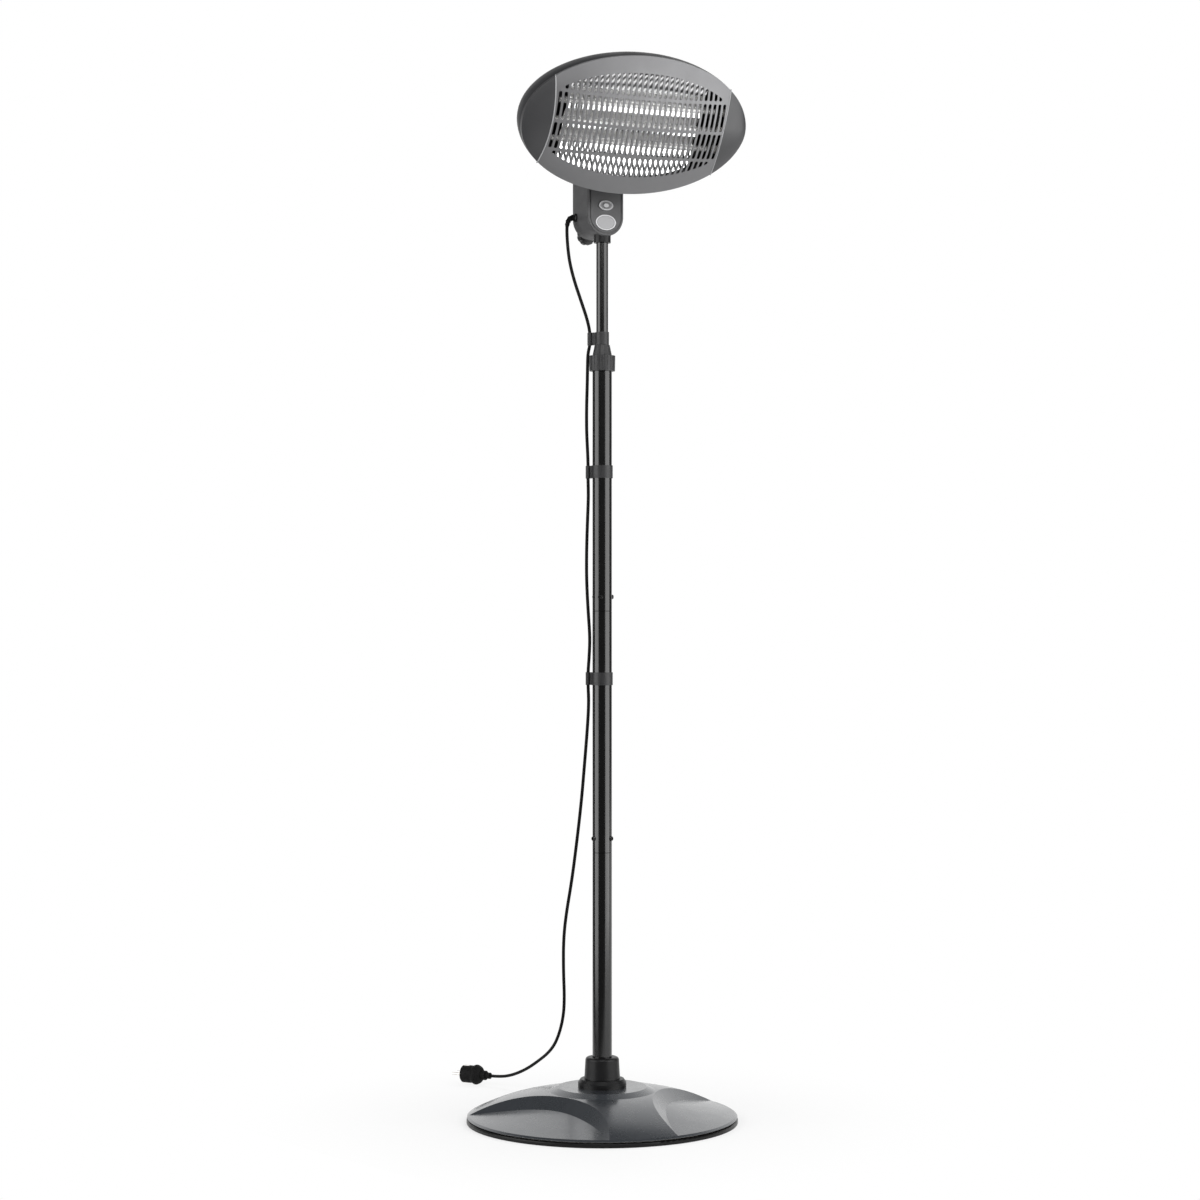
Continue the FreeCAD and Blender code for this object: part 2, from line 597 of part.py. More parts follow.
def clips():
    cord_clip("clip_lower", "pole_radius", "pole_cord_radius", "clip_lower_foot")
    cord_clip("clip_middle", "pole_radius", "pole_cord_radius", "clip_middle_foot")
    cord_clip("clip_upper", "mast_radius", "mast_cord_radius",
              "pole_top - nut_drop + nut_height + clip_upper_rise")


# Control box

def box_outline(inset):
    """Flat top, straight sides and a round bottom."""
    half = f"box_half_width - ({inset})"
    return [(f"-({half})", f"box_top - ({inset})"),
            (f"-({half})", "box_arc_height", f"-({half}) * arc_share"),
            (half, "box_arc_height"), (half, f"box_top - ({inset})")]


def box_pad(body, name, inset, front, rear, kind="Pad"):
    sketch = outline(body, name + "_outline", "XZ_Plane", box_outline(inset), f"-({rear})")
    made = feature(body, kind, name, sketch, Length=f"({rear}) - ({front})")
    return made


def oval_pad(name, half_width, half_tall, middle, front, rear):
    """Level oval plate between two depths."""
    body = new_body(name)
    sketch = oval_sketch(body, name + "_oval", "XZ_Plane", half_width, half_tall, middle, f"-({rear})")
    feature(body, "Pad", name + "_pad", sketch, Length=f"({rear}) - ({front})")
    return body


def control_box():
    seam = "box_front + face_depth"
    shell = new_body("housing")
    box_pad(shell, "housing_outside", "0", seam, "box_rear")
    cavity = box_pad(shell, "housing_cavity", "box_wall", f"{seam} - overrun", "box_rear - box_wall",
                     "Pocket")
    cavity.Reversed = True
    holes = fuse(
        "housing_holes",
        cylinder("sleeve_hole", "sleeve_radius + slip_gap", "box_wall + collar_radius",
                 ("0", "0", "box_arc_height - box_half_width - overrun")),
        cylinder("stud_hole", "stud_radius + nut_gap", "box_wall + 2 * overrun",
                 ("0", "box_rear - box_wall - overrun", "clamp_height"), "Y"),
        cylinder("gland_hole", "gland_thread_radius + slip_gap", "box_wall + 2 * overrun",
                 ("-box_half_width - overrun", "gland_depth_place", "gland_height"), "X"))
    node(cut("housing_drilled", shell, holes), "box_body")

    face = new_body("face_plate")
    edge = "box_front + face_edge"
    box_pad(face, "face_plate_pad", "0", edge, seam)
    rounded = face.newObject("PartDesign::AdditiveLoft", "face_edge_loft")
    rounded.Profile = outline(face, "face_edge_foot", "XZ_Plane", box_outline("0"), f"-({edge})")
    rounded.Sections = [outline(face, "face_edge_top", "XZ_Plane", box_outline("face_edge"), "-box_front")]
    rounded.Ruled = True
    inset, inner_face = "box_wall + lip_gap", "box_front + face_thick"
    box_pad(face, "face_lip_pad", inset, inner_face, f"{seam} + face_lip")
    hollow = box_pad(face, "face_lip_hollow", f"{inset} + face_lip_wall", inner_face,
                     f"{seam} + face_lip", "Pocket")
    hollow.Reversed = True
    posts = [cylinder(f"switch_post_{index + 1}", "post_radius",
                      f"{seam} + face_lip + post_rise - ({inner_face})",
                      (place_x, inner_face, "button_height"), "Y")
             for index, place_x in enumerate(("-post_spread", "post_spread"))]
    window = oval_pad("button_window", "button_width / 2 + button_gap", "button_tall / 2 + button_gap",
                      "button_height", "box_front - overrun", f"{seam} + overrun")
    recess = oval_pad("badge_recess", "badge_half_width + slip_gap", "badge_half_tall + slip_gap",
                      "badge_height", "box_front - overrun", "box_front + badge_sink")
    groove_rim, groove_island = new_body("groove_rim"), new_body("groove_island")
    floor = "box_front + groove_depth"
    box_pad(groove_rim, "groove_rim_pad", "groove_inset", "box_front - overrun", floor)
    box_pad(groove_island, "groove_island_pad", "groove_inset + groove_width", "box_front - 2 * overrun",
            f"{floor} + overrun")
    groove = cut("face_groove", groove_rim, groove_island)
    notch = cylinder("sleeve_notch", "sleeve_radius + slip_gap", "box_wall + collar_radius",
                     ("0", "0", "box_arc_height - box_half_width - overrun"))
    drilled = cut("face_cut", face, fuse("face_windows", window, recess, groove, notch))
    node(fuse("face_with_posts", drilled, *posts), "box_cover")

    plate_front = "box_front + badge_sink - badge_thick"
    badge = oval_pad("badge", "badge_half_width", "badge_half_tall", "badge_height", plate_front,
                     "box_front + badge_sink")
    field = oval_pad("badge_field", "badge_half_width - badge_border", "badge_half_tall - badge_border",
                     "badge_height", f"{plate_front} - overrun", f"{plate_front} + badge_field_depth")
    node(cut("badge_framed", badge, field), "badge_plate")

    front = "box_front - button_proud"
    rim_front = f"{seam} + button_gap"
    cap = oval_pad("button_cap", "button_width / 2", "button_tall / 2", "button_height", front, rim_front)
    rim = oval_pad("button_flange", "button_width / 2 + button_rim", "button_tall / 2 + button_rim",
                   "button_height", rim_front, f"{rim_front} + button_rim_depth")
    dish = oval_pad("button_dish", "button_width / 2 - button_border", "button_tall / 2 - button_border",
                    "button_height", f"{front} - overrun", f"{front} + button_dish_depth")
    centre = cylinder("button_centre", "button_centre_radius", "button_centre_height",
                      ("0", f"{front} + button_dish_depth - button_centre_height", "button_height"), "Y")
    dished = cut("button_dished", fuse("button_blank", cap, rim), dish)
    node(fuse("button_with_centre", dished, centre), "power_button")

    plate = f"{seam} + face_lip + post_rise"
    tall = "switch_tall / 2"
    node(fuse("switch_block",
              block("switch_plate", ("switch_plate_width / -2", plate, f"button_height - {tall}"),
                    ("switch_plate_width / 2", f"{plate} + switch_plate_thick", f"button_height + {tall}")),
              block("switch_case", ("switch_width / -2", plate, f"button_height - {tall}"),
                    ("switch_width / 2", f"{plate} + switch_depth", f"button_height + {tall}"))),
         "power_switch")
    back = "box_rear - box_wall"
    node(block("terminal", ("terminal_width / -2", f"{back} - terminal_depth", "terminal_height"),
               ("terminal_width / 2", back, "terminal_height + terminal_tall")), "terminal_block")
    node(block("tip_switch", ("tip_switch_offset", f"{back} - tip_switch_depth", "tip_switch_height"),
               ("tip_switch_offset + tip_switch_width", back, "tip_switch_height + tip_switch_tall")),
         "tip_over_switch")


def mast_mount():
    bottom = "(box_arc_height - box_half_width)"
    foot = f"{bottom} - collar_drop"
    ring = cylinder("collar_ring", "collar_radius", "2 * collar_drop", ("0", "0", foot))
    hull = new_body("box_hull")
    box_pad(hull, "box_hull_pad", "0", "-box_rear", "box_rear")
    collar = cut("collar_trimmed", ring, hull)
    sleeve = cylinder("collar_sleeve", "sleeve_radius", f"sleeve_top - ({foot})", ("0", "0", foot))
    socket = cylinder("collar_socket", "mast_radius + slip_gap", f"mast_top - ({foot}) + overrun",
                      ("0", "0", f"{foot} - overrun"))
    back = "box_rear - box_wall"
    boss = cylinder("clamp_boss", "boss_radius", f"{back} - mast_radius - mast_wall",
                    ("0", "mast_radius + mast_wall", "clamp_height"), "Y")
    bore = cylinder("clamp_bore", "stud_radius + stud_gap", f"{back} + overrun",
                    ("0", "0", "clamp_height"), "Y")
    blank = fuse("collar_boss", collar, sleeve, boss)
    node(cut("collar_drilled", blank, fuse("collar_bores", socket, bore)), "mast_socket")

    hub = "box_rear + knob_gap"
    disc = f"{hub} + knob_hub_length"
    knob = turned("knob", [
        ("0", "mast_radius + nut_gap"), ("stud_radius", "mast_radius + nut_gap"), ("stud_radius", hub),
        ("knob_hub_radius", hub), ("knob_hub_radius", disc), ("knob_radius - knob_edge", disc),
        ("knob_radius", f"{disc} + knob_edge"), ("knob_radius", f"{disc} + knob_thick - knob_edge"),
        ("knob_radius - knob_edge", f"{disc} + knob_thick"), ("0", f"{disc} + knob_thick")])
    flute = ring_sketch(knob, "knob_flute", "XY_Plane", "knob_lobe_radius",
                        "knob_radius + knob_lobe_radius - knob_lobe_depth", "0", f"{disc} + knob_thick")
    flute_cut = feature(knob, "Pocket", "knob_flute_cut", flute, Length="knob_thick")
    flutes = knob.newObject("PartDesign::PolarPattern", "knob_flutes")
    flutes.Originals = [flute_cut]
    flutes.Axis = (origin_part(knob, "Z_Axis"), [""])
    flutes.Angle = 360
    bind(flutes, Occurrences="knob_lobe_count")
    knob.Tip = flutes
    knob.Placement = Placement(Vector(), Rotation(Vector(1, 0, 0), -90))
    knob.setExpression("Placement.Base.z", formula("clamp_height"))
    node(knob, "clamp_knob")

    seat = "-box_wall - gland_nut_gap"
    gland = turned("gland", [
        ("cord_radius + slip_gap", f"{seat} - gland_nut_thick"),
        ("gland_nut_radius", f"{seat} - gland_nut_thick"), ("gland_nut_radius", seat),
        ("gland_thread_radius", seat), ("gland_thread_radius", "0"), ("gland_radius", "0"),
        ("gland_radius", "gland_length / 2"), ("gland_mouth_radius", "gland_length"),
        ("cord_radius + slip_gap", "gland_length")])
    gland.Placement = Placement(Vector(), Rotation(Vector(0, 1, 0), -90))
    for axis, text in zip("xyz", ("-box_half_width", "gland_depth_place", "gland_height")):
        gland.setExpression("Placement.Base." + axis, formula(text))
    node(gland, "cable_gland")


# Tilt hinge

def hinge():
    half = "knuckle_foot_half"
    foot = block("knuckle_foot", (f"-{half}", f"hinge_depth_place - {half}", "box_top"),
                 (half, f"hinge_depth_place + {half}", "box_top + knuckle_foot_thick"))
    web = block("knuckle_web", ("-barrel_half_width", "hinge_depth_place - barrel_radius", "box_top"),
                ("barrel_half_width", "hinge_depth_place + barrel_radius", "hinge_height"))
    barrel = cylinder("knuckle_barrel", "barrel_radius", "2 * barrel_half_width",
                      ("-barrel_half_width", "hinge_depth_place", "hinge_height"), "X")
    bore = cylinder("knuckle_bore", "pin_radius + pin_gap", "2 * barrel_half_width + 2 * overrun",
                    ("-barrel_half_width - overrun", "hinge_depth_place", "hinge_height"), "X")
    node(cut("knuckle", fuse("knuckle_blank", foot, web, barrel), bore), "hinge_knuckle")

    inner = "barrel_half_width + cheek_gap"
    outer = f"{inner} + cheek_thick"
    back = "shell_depth"
    cheeks = []
    for side, start in (("left", f"-({outer})"), ("right", inner)):
        arm = padded(f"cheek_{side}", "YZ_Plane", [
            (back, "bracket_rise + bracket_half_tall"), (back, "bracket_rise - bracket_half_tall"),
            ("hinge_back - cheek_round * cheek_low_share", "-hinge_down - cheek_round * cheek_side_share"),
            ("hinge_back + cheek_round * cheek_low_share", "-hinge_down + cheek_round * cheek_side_share"),
            (f"{back} + cheek_round", "bracket_rise + bracket_half_tall")], "cheek_thick", start)
        eye = cylinder(f"cheek_eye_{side}", "cheek_round", "cheek_thick",
                       (start, "hinge_back", "-hinge_down"), "X")
        cheeks += [arm, eye]
    plate = block("bracket_plate", (f"-({outer})", back, "bracket_rise - bracket_half_tall"),
                  (outer, f"{back} + cheek_thick", "bracket_rise + bracket_half_tall"))
    pin_hole = cylinder("cheek_bore", "pin_radius + slip_gap", f"2 * ({outer}) + 2 * overrun",
                        (f"-({outer}) - overrun", "hinge_back", "-hinge_down"), "X")
    node(tilted(cut("bracket", fuse("bracket_blank", plate, *cheeks), pin_hole)), "head_bracket")

    shank = cylinder("pin_shank", "pin_radius", f"2 * ({outer}) + pin_nut_thick + overrun",
                     (f"-({outer})", "hinge_back", "-hinge_down"), "X")
    head = cylinder("pin_head", "pin_head_radius", "pin_head_thick",
                    (f"-({outer}) - pin_head_thick", "hinge_back", "-hinge_down"), "X")
    node(tilted(fuse("pin", shank, head)), "hinge_bolt")
    hexagon = solid("Prism", "pin_nut_hexagon", (outer, "hinge_back", "-hinge_down"), "X",
                    Circumradius="pin_nut_radius", Height="pin_nut_thick")
    hexagon.Polygon = 6
    thread = cylinder("pin_nut_bore", "pin_radius + slip_gap", "pin_nut_thick + 2 * overrun",
                      (f"{outer} - overrun", "hinge_back", "-hinge_down"), "X")
    node(tilted(cut("pin_nut", hexagon, thread)), "hinge_nut")


# Head

def face_form(name, inset):
    """Domed solid behind the face: upright arcs that shrink towards both ends, cut to the oval rim."""
    dome = new_body(name + "_dome")
    back = f"face_return + {inset}"
    sections = []
    for index, share in enumerate(STATION_SHARES):
        shrink_share = math.sqrt(1 - share ** 2)
        half = f"(rim_half_tall * face_spread_share - {inset}) * {shrink_share}"
        arc = [(inset, half, f"-face_bulge * {shrink_share}"), (inset, f"-({half})"),
               (back, f"-({half})"), (back, half)]
        station = f"(rim_half_width * face_spread_share - {inset}) * {share}"
        sections.append(outline(dome, f"{name}_station_{index + 1}", "YZ_Plane", arc, station))
    loft = dome.newObject("PartDesign::AdditiveLoft", name + "_loft")
    loft.Profile = sections[0]
    loft.Sections = sections[1:]
    oval = oval_pad(name + "_oval", f"rim_half_width - {inset}", f"rim_half_tall - {inset}", "0",
                    "-2 * face_bulge", back)
    return common(name, dome, oval)


def grille_slots():
    """Rows of upright slots, cut short where they meet an oval border."""
    pitch, width = value("slot_pitch"), value("slot_width")
    columns = int(value("slot_columns"))
    row, bar, rise = value("row_pitch"), value("row_bar"), value("grille_rise")
    front, back = value("-2 * face_bulge"), value("0")
    border = Part.Ellipse(Vector(0, rise, 0), value("grille_half_width"), value("grille_half_tall"))
    border_wire = Part.Wire(border.toShape())
    border_wire.rotate(Vector(), Vector(1, 0, 0), 90)
    oval = Part.Face(border_wire)
    lanes = []
    for level in (-2, -1, 0, 1):
        low = rise + level * row + bar / 2 + width / 2
        high = rise + (level + 1) * row - bar / 2 - width / 2
        for column in range(columns):
            x = (column - (columns - 1) / 2) * pitch
            left, right = x - width / 2, x + width / 2
            sides = [
                Part.LineSegment(Vector(left, 0, low), Vector(left, 0, high)).toShape(),
                Part.Arc(Vector(left, 0, high), Vector(x, 0, high + width / 2),
                         Vector(right, 0, high)).toShape(),
                Part.LineSegment(Vector(right, 0, high), Vector(right, 0, low)).toShape(),
                Part.Arc(Vector(right, 0, low), Vector(x, 0, low - width / 2),
                         Vector(left, 0, low)).toShape()]
            lane = Part.Face(Part.Wire(sides)).common(oval)
            if lane.Area > width * bar / 4:
                lanes.append(lane)
    tool = Part.makeCompound(lanes).extrude(Vector(0, back - front, 0))
    tool.translate(Vector(0, front, 0))
    slots = doc.addObject("Part::Feature", "grille_slots")
    slots.Shape = tool
    return slots


def cap_region(name, side, gap):
    """Space beyond a seam that bows towards the middle of the face."""
    sign = "-1" if side == "left" else "1"
    tall = "rim_half_tall + overrun"
    seam = f"{sign} * (seam_half_width + seam_bow + {gap})"
    wide = f"{sign} * (rim_half_width + overrun)"
    low, high = (f"-({tall})", tall) if side == "left" else (tall, f"-({tall})")
    corners = [(wide, low), (seam, low, "-seam_bow"), (seam, high), (wide, high)]
    return padded(name, "XZ_Plane", corners, "4 * face_bulge", "-2 * face_bulge")


def head_front():
    frame = cut("head_frame", face_form("face_outside", "0"), face_form("face_inside", "head_sheet"))
    trims = [cap_region(f"seam_{side}", side, "0") for side in ("left", "right")]
    panel = cut("panel_blank", frame, fuse("seam_trims", *trims))
    node(tilted(cut("panel_slotted", panel, grille_slots())), "front_panel")
    for side in ("left", "right"):
        keep = cap_region(f"cap_space_{side}", side, "seam_gap")
        node(tilted(common(f"cap_{side}", frame, keep)), f"end_cap_{side}")


def shell_loft(name, inset, front):
    body = new_body(name)
    rings = [
        (front, "rim_half_width", "rim_half_tall"), ("rim_depth", "rim_half_width", "rim_half_tall"),
        ("shell_waist_depth", "shell_waist_width", "shell_waist_tall"),
        ("shell_hip_depth", "shell_hip_width", "shell_hip_tall"),
        (f"shell_depth - {inset}", "shell_back_width", "shell_back_tall")]
    sketches = [oval_sketch(body, f"{name}_ring_{index + 1}", "XZ_Plane", f"{wide} - {inset}",
                            f"{tall} - {inset}", "0", f"-({depth})")
                for index, (depth, wide, tall) in enumerate(rings)]
    loft = body.newObject("PartDesign::AdditiveLoft", name + "_loft")
    loft.Profile = sketches[0]
    loft.Sections = sketches[1:]
    loft.Ruled = False
    return body


def head_rear():
    outside = shell_loft("shell_outside", "0", "face_return")
    inside = shell_loft("shell_inside", "shell_wall", "face_return - overrun")
    rest = "cusp_depth + trough_depth + reflector_sheet + rest_gap"
    posts = []
    for x in ("-stand_off_place", "stand_off_place"):
        for z in ("-tube_pitch", "tube_pitch"):
            posts.append(cylinder(f"stand_off_{len(posts) + 1}", "stand_off_radius",
                                  f"shell_depth - ({rest})", (x, rest, z), "Y"))
    trimmed = common("stand_offs", fuse("stand_off_set", *posts), outside)
    hollow = cut("shell_hollow", outside, inside)
    slots = []
    for side in ("-1", "1"):
        for index in range(int(SIZES["vent_count"])):
            low = f"({index} - (vent_count - 1) / 2) * vent_pitch - vent_tall / 2"
            reach = f"{side} * vent_place - vent_length / 2"
            slots.append(block(f"vent_{len(slots) + 1}", (reach, "shell_depth - shell_wall - overrun", low),
                               (f"{reach} + vent_length", "shell_depth + overrun", f"{low} + vent_tall")))
    vented = cut("shell_vented", fuse("shell_with_posts", hollow, trimmed), fuse("vents", *slots))
    node(tilted(vented), "rear_shell")
    return inside


def heating(shell_inside):
    cusp, half = "cusp_depth", "tube_pitch / 2"
    edges = [f"-3 * {half}", f"-1 * {half}", f"{half}", f"3 * {half}"]
    front = [("wing_front", "-reflector_wing"), (cusp, edges[0], "-trough_depth"),
             (cusp, edges[1], "-trough_depth"), (cusp, edges[2], "-trough_depth"), (cusp, edges[3]),
             ("wing_front", "reflector_wing")]
    step = " + reflector_sheet"
    rear = [("wing_front" + step, "reflector_wing"), (cusp + step, edges[3], "trough_depth"),
            (cusp + step, edges[2], "trough_depth"), (cusp + step, edges[1], "trough_depth"),
            (cusp + step, edges[0]), ("wing_front" + step, "-reflector_wing")]
    mirror = padded("mirror", "YZ_Plane", front + rear, "2 * reflector_half_width", "0", True)
    trim = oval_pad("mirror_trim", "mirror_half_width", "mirror_half_tall", "0", "-2 * face_bulge",
                    "shell_depth")
    node(tilted(common("mirror_trimmed", mirror, trim)), "reflector")

    levels = ["-tube_pitch", "0", "tube_pitch"]
    bores = [cylinder(f"holder_bore_{index + 1}", "tube_radius + slip_gap",
                      "2 * rim_half_width", ("-rim_half_width", "tube_depth", level), "X")
             for index, level in enumerate(levels)]
    drill = fuse("holder_bores", *bores)
    inner = "holder_place"
    for side, start in (("left", f"-({inner}) - holder_thick"), ("right", inner)):
        plate = block(f"holder_{side}", (start, "holder_front", "-holder_half_tall"),
                      (f"{start} + holder_thick", "holder_back", "holder_half_tall"))
        reach = block(f"holder_reach_{side}", (start, "holder_back - overrun", "-holder_leg_half"),
                      (f"{start} + holder_thick", "shell_depth", "holder_leg_half"))
        leg = common(f"holder_leg_{side}", reach, shell_inside)
        drilled = cut(f"holder_{side}_drilled", plate, drill)
        node(tilted(fuse(f"holder_{side}_with_leg", drilled, leg)), f"tube_holder_{side}")

    outer = f"{inner} + holder_thick"
    ends, coils = [], []
    for index, level in enumerate(levels):
        half_length = f"({outer} + tube_overlap)"
        tube = cylinder(f"glass_{index + 1}", "tube_radius", f"2 * {half_length}",
                        (f"-{half_length}", "tube_depth", level), "X")
        bore = cylinder(f"glass_bore_{index + 1}", "tube_radius - tube_wall",
                        f"2 * {half_length} + 2 * overrun",
                        (f"-{half_length} - overrun", "tube_depth", level), "X")
        node(tilted(cut(f"glass_tube_{index + 1}", tube, bore)), f"quartz_tube_{index + 1}")
        coils.append(cylinder(f"coil_{index + 1}", "tube_radius - tube_wall - coil_gap",
                              f"2 * {half_length} - 2 * overrun",
                              (f"-{half_length} + overrun", "tube_depth", level), "X"))
        for side, start in (("left", f"-({outer}) - ceramic_length"), ("right", outer)):
            cap = cylinder(f"ceramic_{side}_{index + 1}", "ceramic_radius", "ceramic_length",
                           (start, "tube_depth", level), "X")
            seat = cylinder(f"ceramic_bore_{side}_{index + 1}", "tube_radius + slip_gap",
                            f"2 * {half_length} + 2 * slip_gap",
                            (f"-{half_length} - slip_gap", "tube_depth", level), "X")
            ends.append(cut(f"ceramic_cap_{side}_{index + 1}", cap, seat))
    node(tilted(group("coil_set", coils)), "heating_coils")
    node(tilted(group("ceramic_set", ends)), "ceramic_ends")

    rest = "cusp_depth + trough_depth + reflector_sheet + rest_gap"
    case = block("cutout", ("cutout_width / -2", rest, "cutout_tall / -2"),
                 ("cutout_width / 2", f"{rest} + cutout_depth", "cutout_tall / 2"))
    node(tilted(group("cutout_case", [case])), "thermal_cutout")


# Mains cord and plug

def cord_path(route):
    """Straight runs joined by arcs as large as the runs allow."""
    spots = [Vector(*point) for point in route]
    edges, radii = [], []
    start = spots[0]
    for before, corner, after in zip(spots, spots[1:], spots[2:]):
        into, away = corner - before, after - corner
        turn = into.getAngle(away)
        tangent = BEND_SHARE * min(into.Length, away.Length)
        radius = tangent / math.tan(turn / 2)
        into.normalize()
        away.normalize()
        enter, leave = corner - into * tangent, corner + away * tangent
        inward = (away - into).normalize()
        centre = corner + inward * math.hypot(radius, tangent)
        middle = centre - inward * radius
        edges.append(Part.LineSegment(start, enter).toShape())
        edges.append(Part.Arc(enter, middle, leave).toShape())
        radii.append(radius)
        start = leave
    edges.append(Part.LineSegment(start, spots[-1]).toShape())
    return Part.Wire(edges), radii


def cord_piece(label, route):
    path, radii = cord_path(route)
    radius = value("cord_radius")
    heading = Vector(*route[1]) - Vector(*route[0])
    section = Part.Wire(Part.Circle(Vector(*route[0]), heading, radius).toShape())
    tube = path.makePipeShell([section], True, False)
    expected = math.pi * radius ** 2 * path.Length
    print(f"{label}: length {path.Length:.1f}, volume share {tube.Volume / expected:.4f}, radii",
          " ".join(f"{bend:.0f}" for bend in radii))
    made = doc.addObject("Part::Feature", label + "_tube")
    made.Shape = tube
    node(made, label)


def cord():
    cord_piece("cord_top", CORD_TOP)
    cord_piece("cord_middle", CORD_MIDDLE)
    cord_piece("cord_lower", CORD_LOWER)


def lay_plug(obj):
    """Lay a piece of the plug, made along +Z, on the floor at the end of the cord."""
    end = Vector(*CORD_LOWER[-1])
    flat = Rotation(Vector(1, 0, 0), -90)
    obj.Placement = Placement(end, Rotation(Vector(0, 0, 1), value("plug_turn") - 90).multiply(flat))
    return obj


def plug():
    body = "plug_length - plug_spigot_length"
    collar = "plug_neck_length + plug_collar_length"
    shoulder = f"{collar} + plug_shoulder_place"
    hump = f"{shoulder} + plug_hump_length"
    moulding = turned("plug_moulding", [
        ("0", "0"), ("plug_neck_radius", "0"), ("plug_neck_radius", "plug_neck_length"),
        ("plug_collar_radius", "plug_neck_length"), ("plug_collar_radius", collar, "-plug_swell"),
        ("plug_shoulder_radius", shoulder, "-plug_hump_rise"), ("plug_shoulder_radius", hump, "plug_dip"),
        ("plug_spigot_radius", f"{hump} + plug_dip_length"),
        ("plug_spigot_radius", "plug_length - plug_edge"),
        ("plug_spigot_radius - plug_edge", "plug_length"), ("0", "plug_length")])
    half = "earth_width / 2"
    tracks, holes, pins, straps = [], [], [], []
    for index, sign in enumerate(("-1", "1")):
        at = (f"{sign} * pin_spread", "0", "plug_length - plug_pin_length")
        pins.append(cylinder(f"plug_pin_{index + 1}", "plug_pin_radius", "2 * plug_pin_length", at))
        holes.append(cylinder(f"plug_pin_seat_{index + 1}", "plug_pin_radius + slip_gap",
                              "2 * plug_pin_length", at))
        low = "plug_spigot_radius - earth_thick"
        high = "plug_spigot_radius + earth_thick"
        near, far = (low, high) if sign == "1" else (f"-({high})", f"-({low})")
        strap_near, strap_far = ((f"{low} + slip_gap", "plug_spigot_radius") if sign == "1"
                                 else ("-plug_spigot_radius", f"-({low} + slip_gap)"))
        tracks.append(block(f"earth_track_{index + 1}",
                            (f"-({half}) - slip_gap", near, f"{body} + slip_gap"),
                            (f"{half} + slip_gap", far, "plug_length + overrun")))
        straps.append(block(f"earth_strap_{index + 1}",
                            (f"-({half})", strap_near, f"{body} + 2 * slip_gap"),
                            (half, strap_far, f"{body} + earth_length")))
    node(lay_plug(cut("plug_cut", moulding, fuse("plug_seats", *holes, *tracks))), "plug_body")
    node(lay_plug(group("plug_pin_set", pins)), "plug_pins")
    node(lay_plug(group("earth_strap_set", straps)), "plug_earth_clips")


def check_and_write():
    doc.recompute()
    for obj in doc.Objects:
        if "Invalid" in obj.State or "Error" in obj.State:
            raise RuntimeError(f"{obj.Name} failed: {obj.State}")
    for piece in NODES:
        shape = piece.Shape
        if shape.isNull() or not shape.isValid() or not shape.Solids:
            raise RuntimeError(f"{piece.Label} has no valid solid")
    for piece in NODES:
        piece.Shape.exportStep(f"parts/{piece.Label}.step")
    print(len(NODES), "pieces written")


base()
pole()
pole_clamp()
mast()
clips()
control_box()
mast_mount()
hinge()
head_front()
shell_hollow = head_rear()
heating(shell_hollow)
cord()
plug()
check_and_write()
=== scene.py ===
import json
import math

import bpy
from mathutils import Matrix, Vector
from mathutils.bvhtree import BVHTree


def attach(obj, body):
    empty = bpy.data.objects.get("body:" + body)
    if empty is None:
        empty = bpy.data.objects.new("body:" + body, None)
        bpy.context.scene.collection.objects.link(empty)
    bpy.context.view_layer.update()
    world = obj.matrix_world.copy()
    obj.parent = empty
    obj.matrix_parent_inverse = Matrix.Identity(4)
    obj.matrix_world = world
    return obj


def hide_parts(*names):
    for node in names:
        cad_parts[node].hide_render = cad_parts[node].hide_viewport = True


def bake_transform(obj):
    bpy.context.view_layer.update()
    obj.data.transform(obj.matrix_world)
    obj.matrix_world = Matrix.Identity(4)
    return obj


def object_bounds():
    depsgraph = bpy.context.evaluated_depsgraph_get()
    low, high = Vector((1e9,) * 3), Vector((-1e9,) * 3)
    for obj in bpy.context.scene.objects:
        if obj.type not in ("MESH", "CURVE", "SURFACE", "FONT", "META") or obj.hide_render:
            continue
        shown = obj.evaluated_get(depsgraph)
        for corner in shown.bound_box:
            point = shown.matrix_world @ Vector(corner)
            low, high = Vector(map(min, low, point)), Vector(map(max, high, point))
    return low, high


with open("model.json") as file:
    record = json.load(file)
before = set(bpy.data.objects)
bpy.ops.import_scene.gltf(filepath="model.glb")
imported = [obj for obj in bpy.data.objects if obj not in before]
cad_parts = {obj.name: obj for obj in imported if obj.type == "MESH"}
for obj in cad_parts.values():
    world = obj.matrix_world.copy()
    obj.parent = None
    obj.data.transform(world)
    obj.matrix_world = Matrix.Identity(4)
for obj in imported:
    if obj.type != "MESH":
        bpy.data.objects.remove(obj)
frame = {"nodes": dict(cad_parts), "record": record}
cad_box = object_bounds()
scene = bpy.context.scene
scene.view_settings.view_transform = "Standard"

# Viewpoint of the photograph, in metres and degrees.
VIEW_AZIMUTH = -24
VIEW_DISTANCE = 5.0
VIEW_HEIGHT = 0.9614
VIEW_SIDESTEP = -0.00406
LENS = 81.3
SENSOR = 36

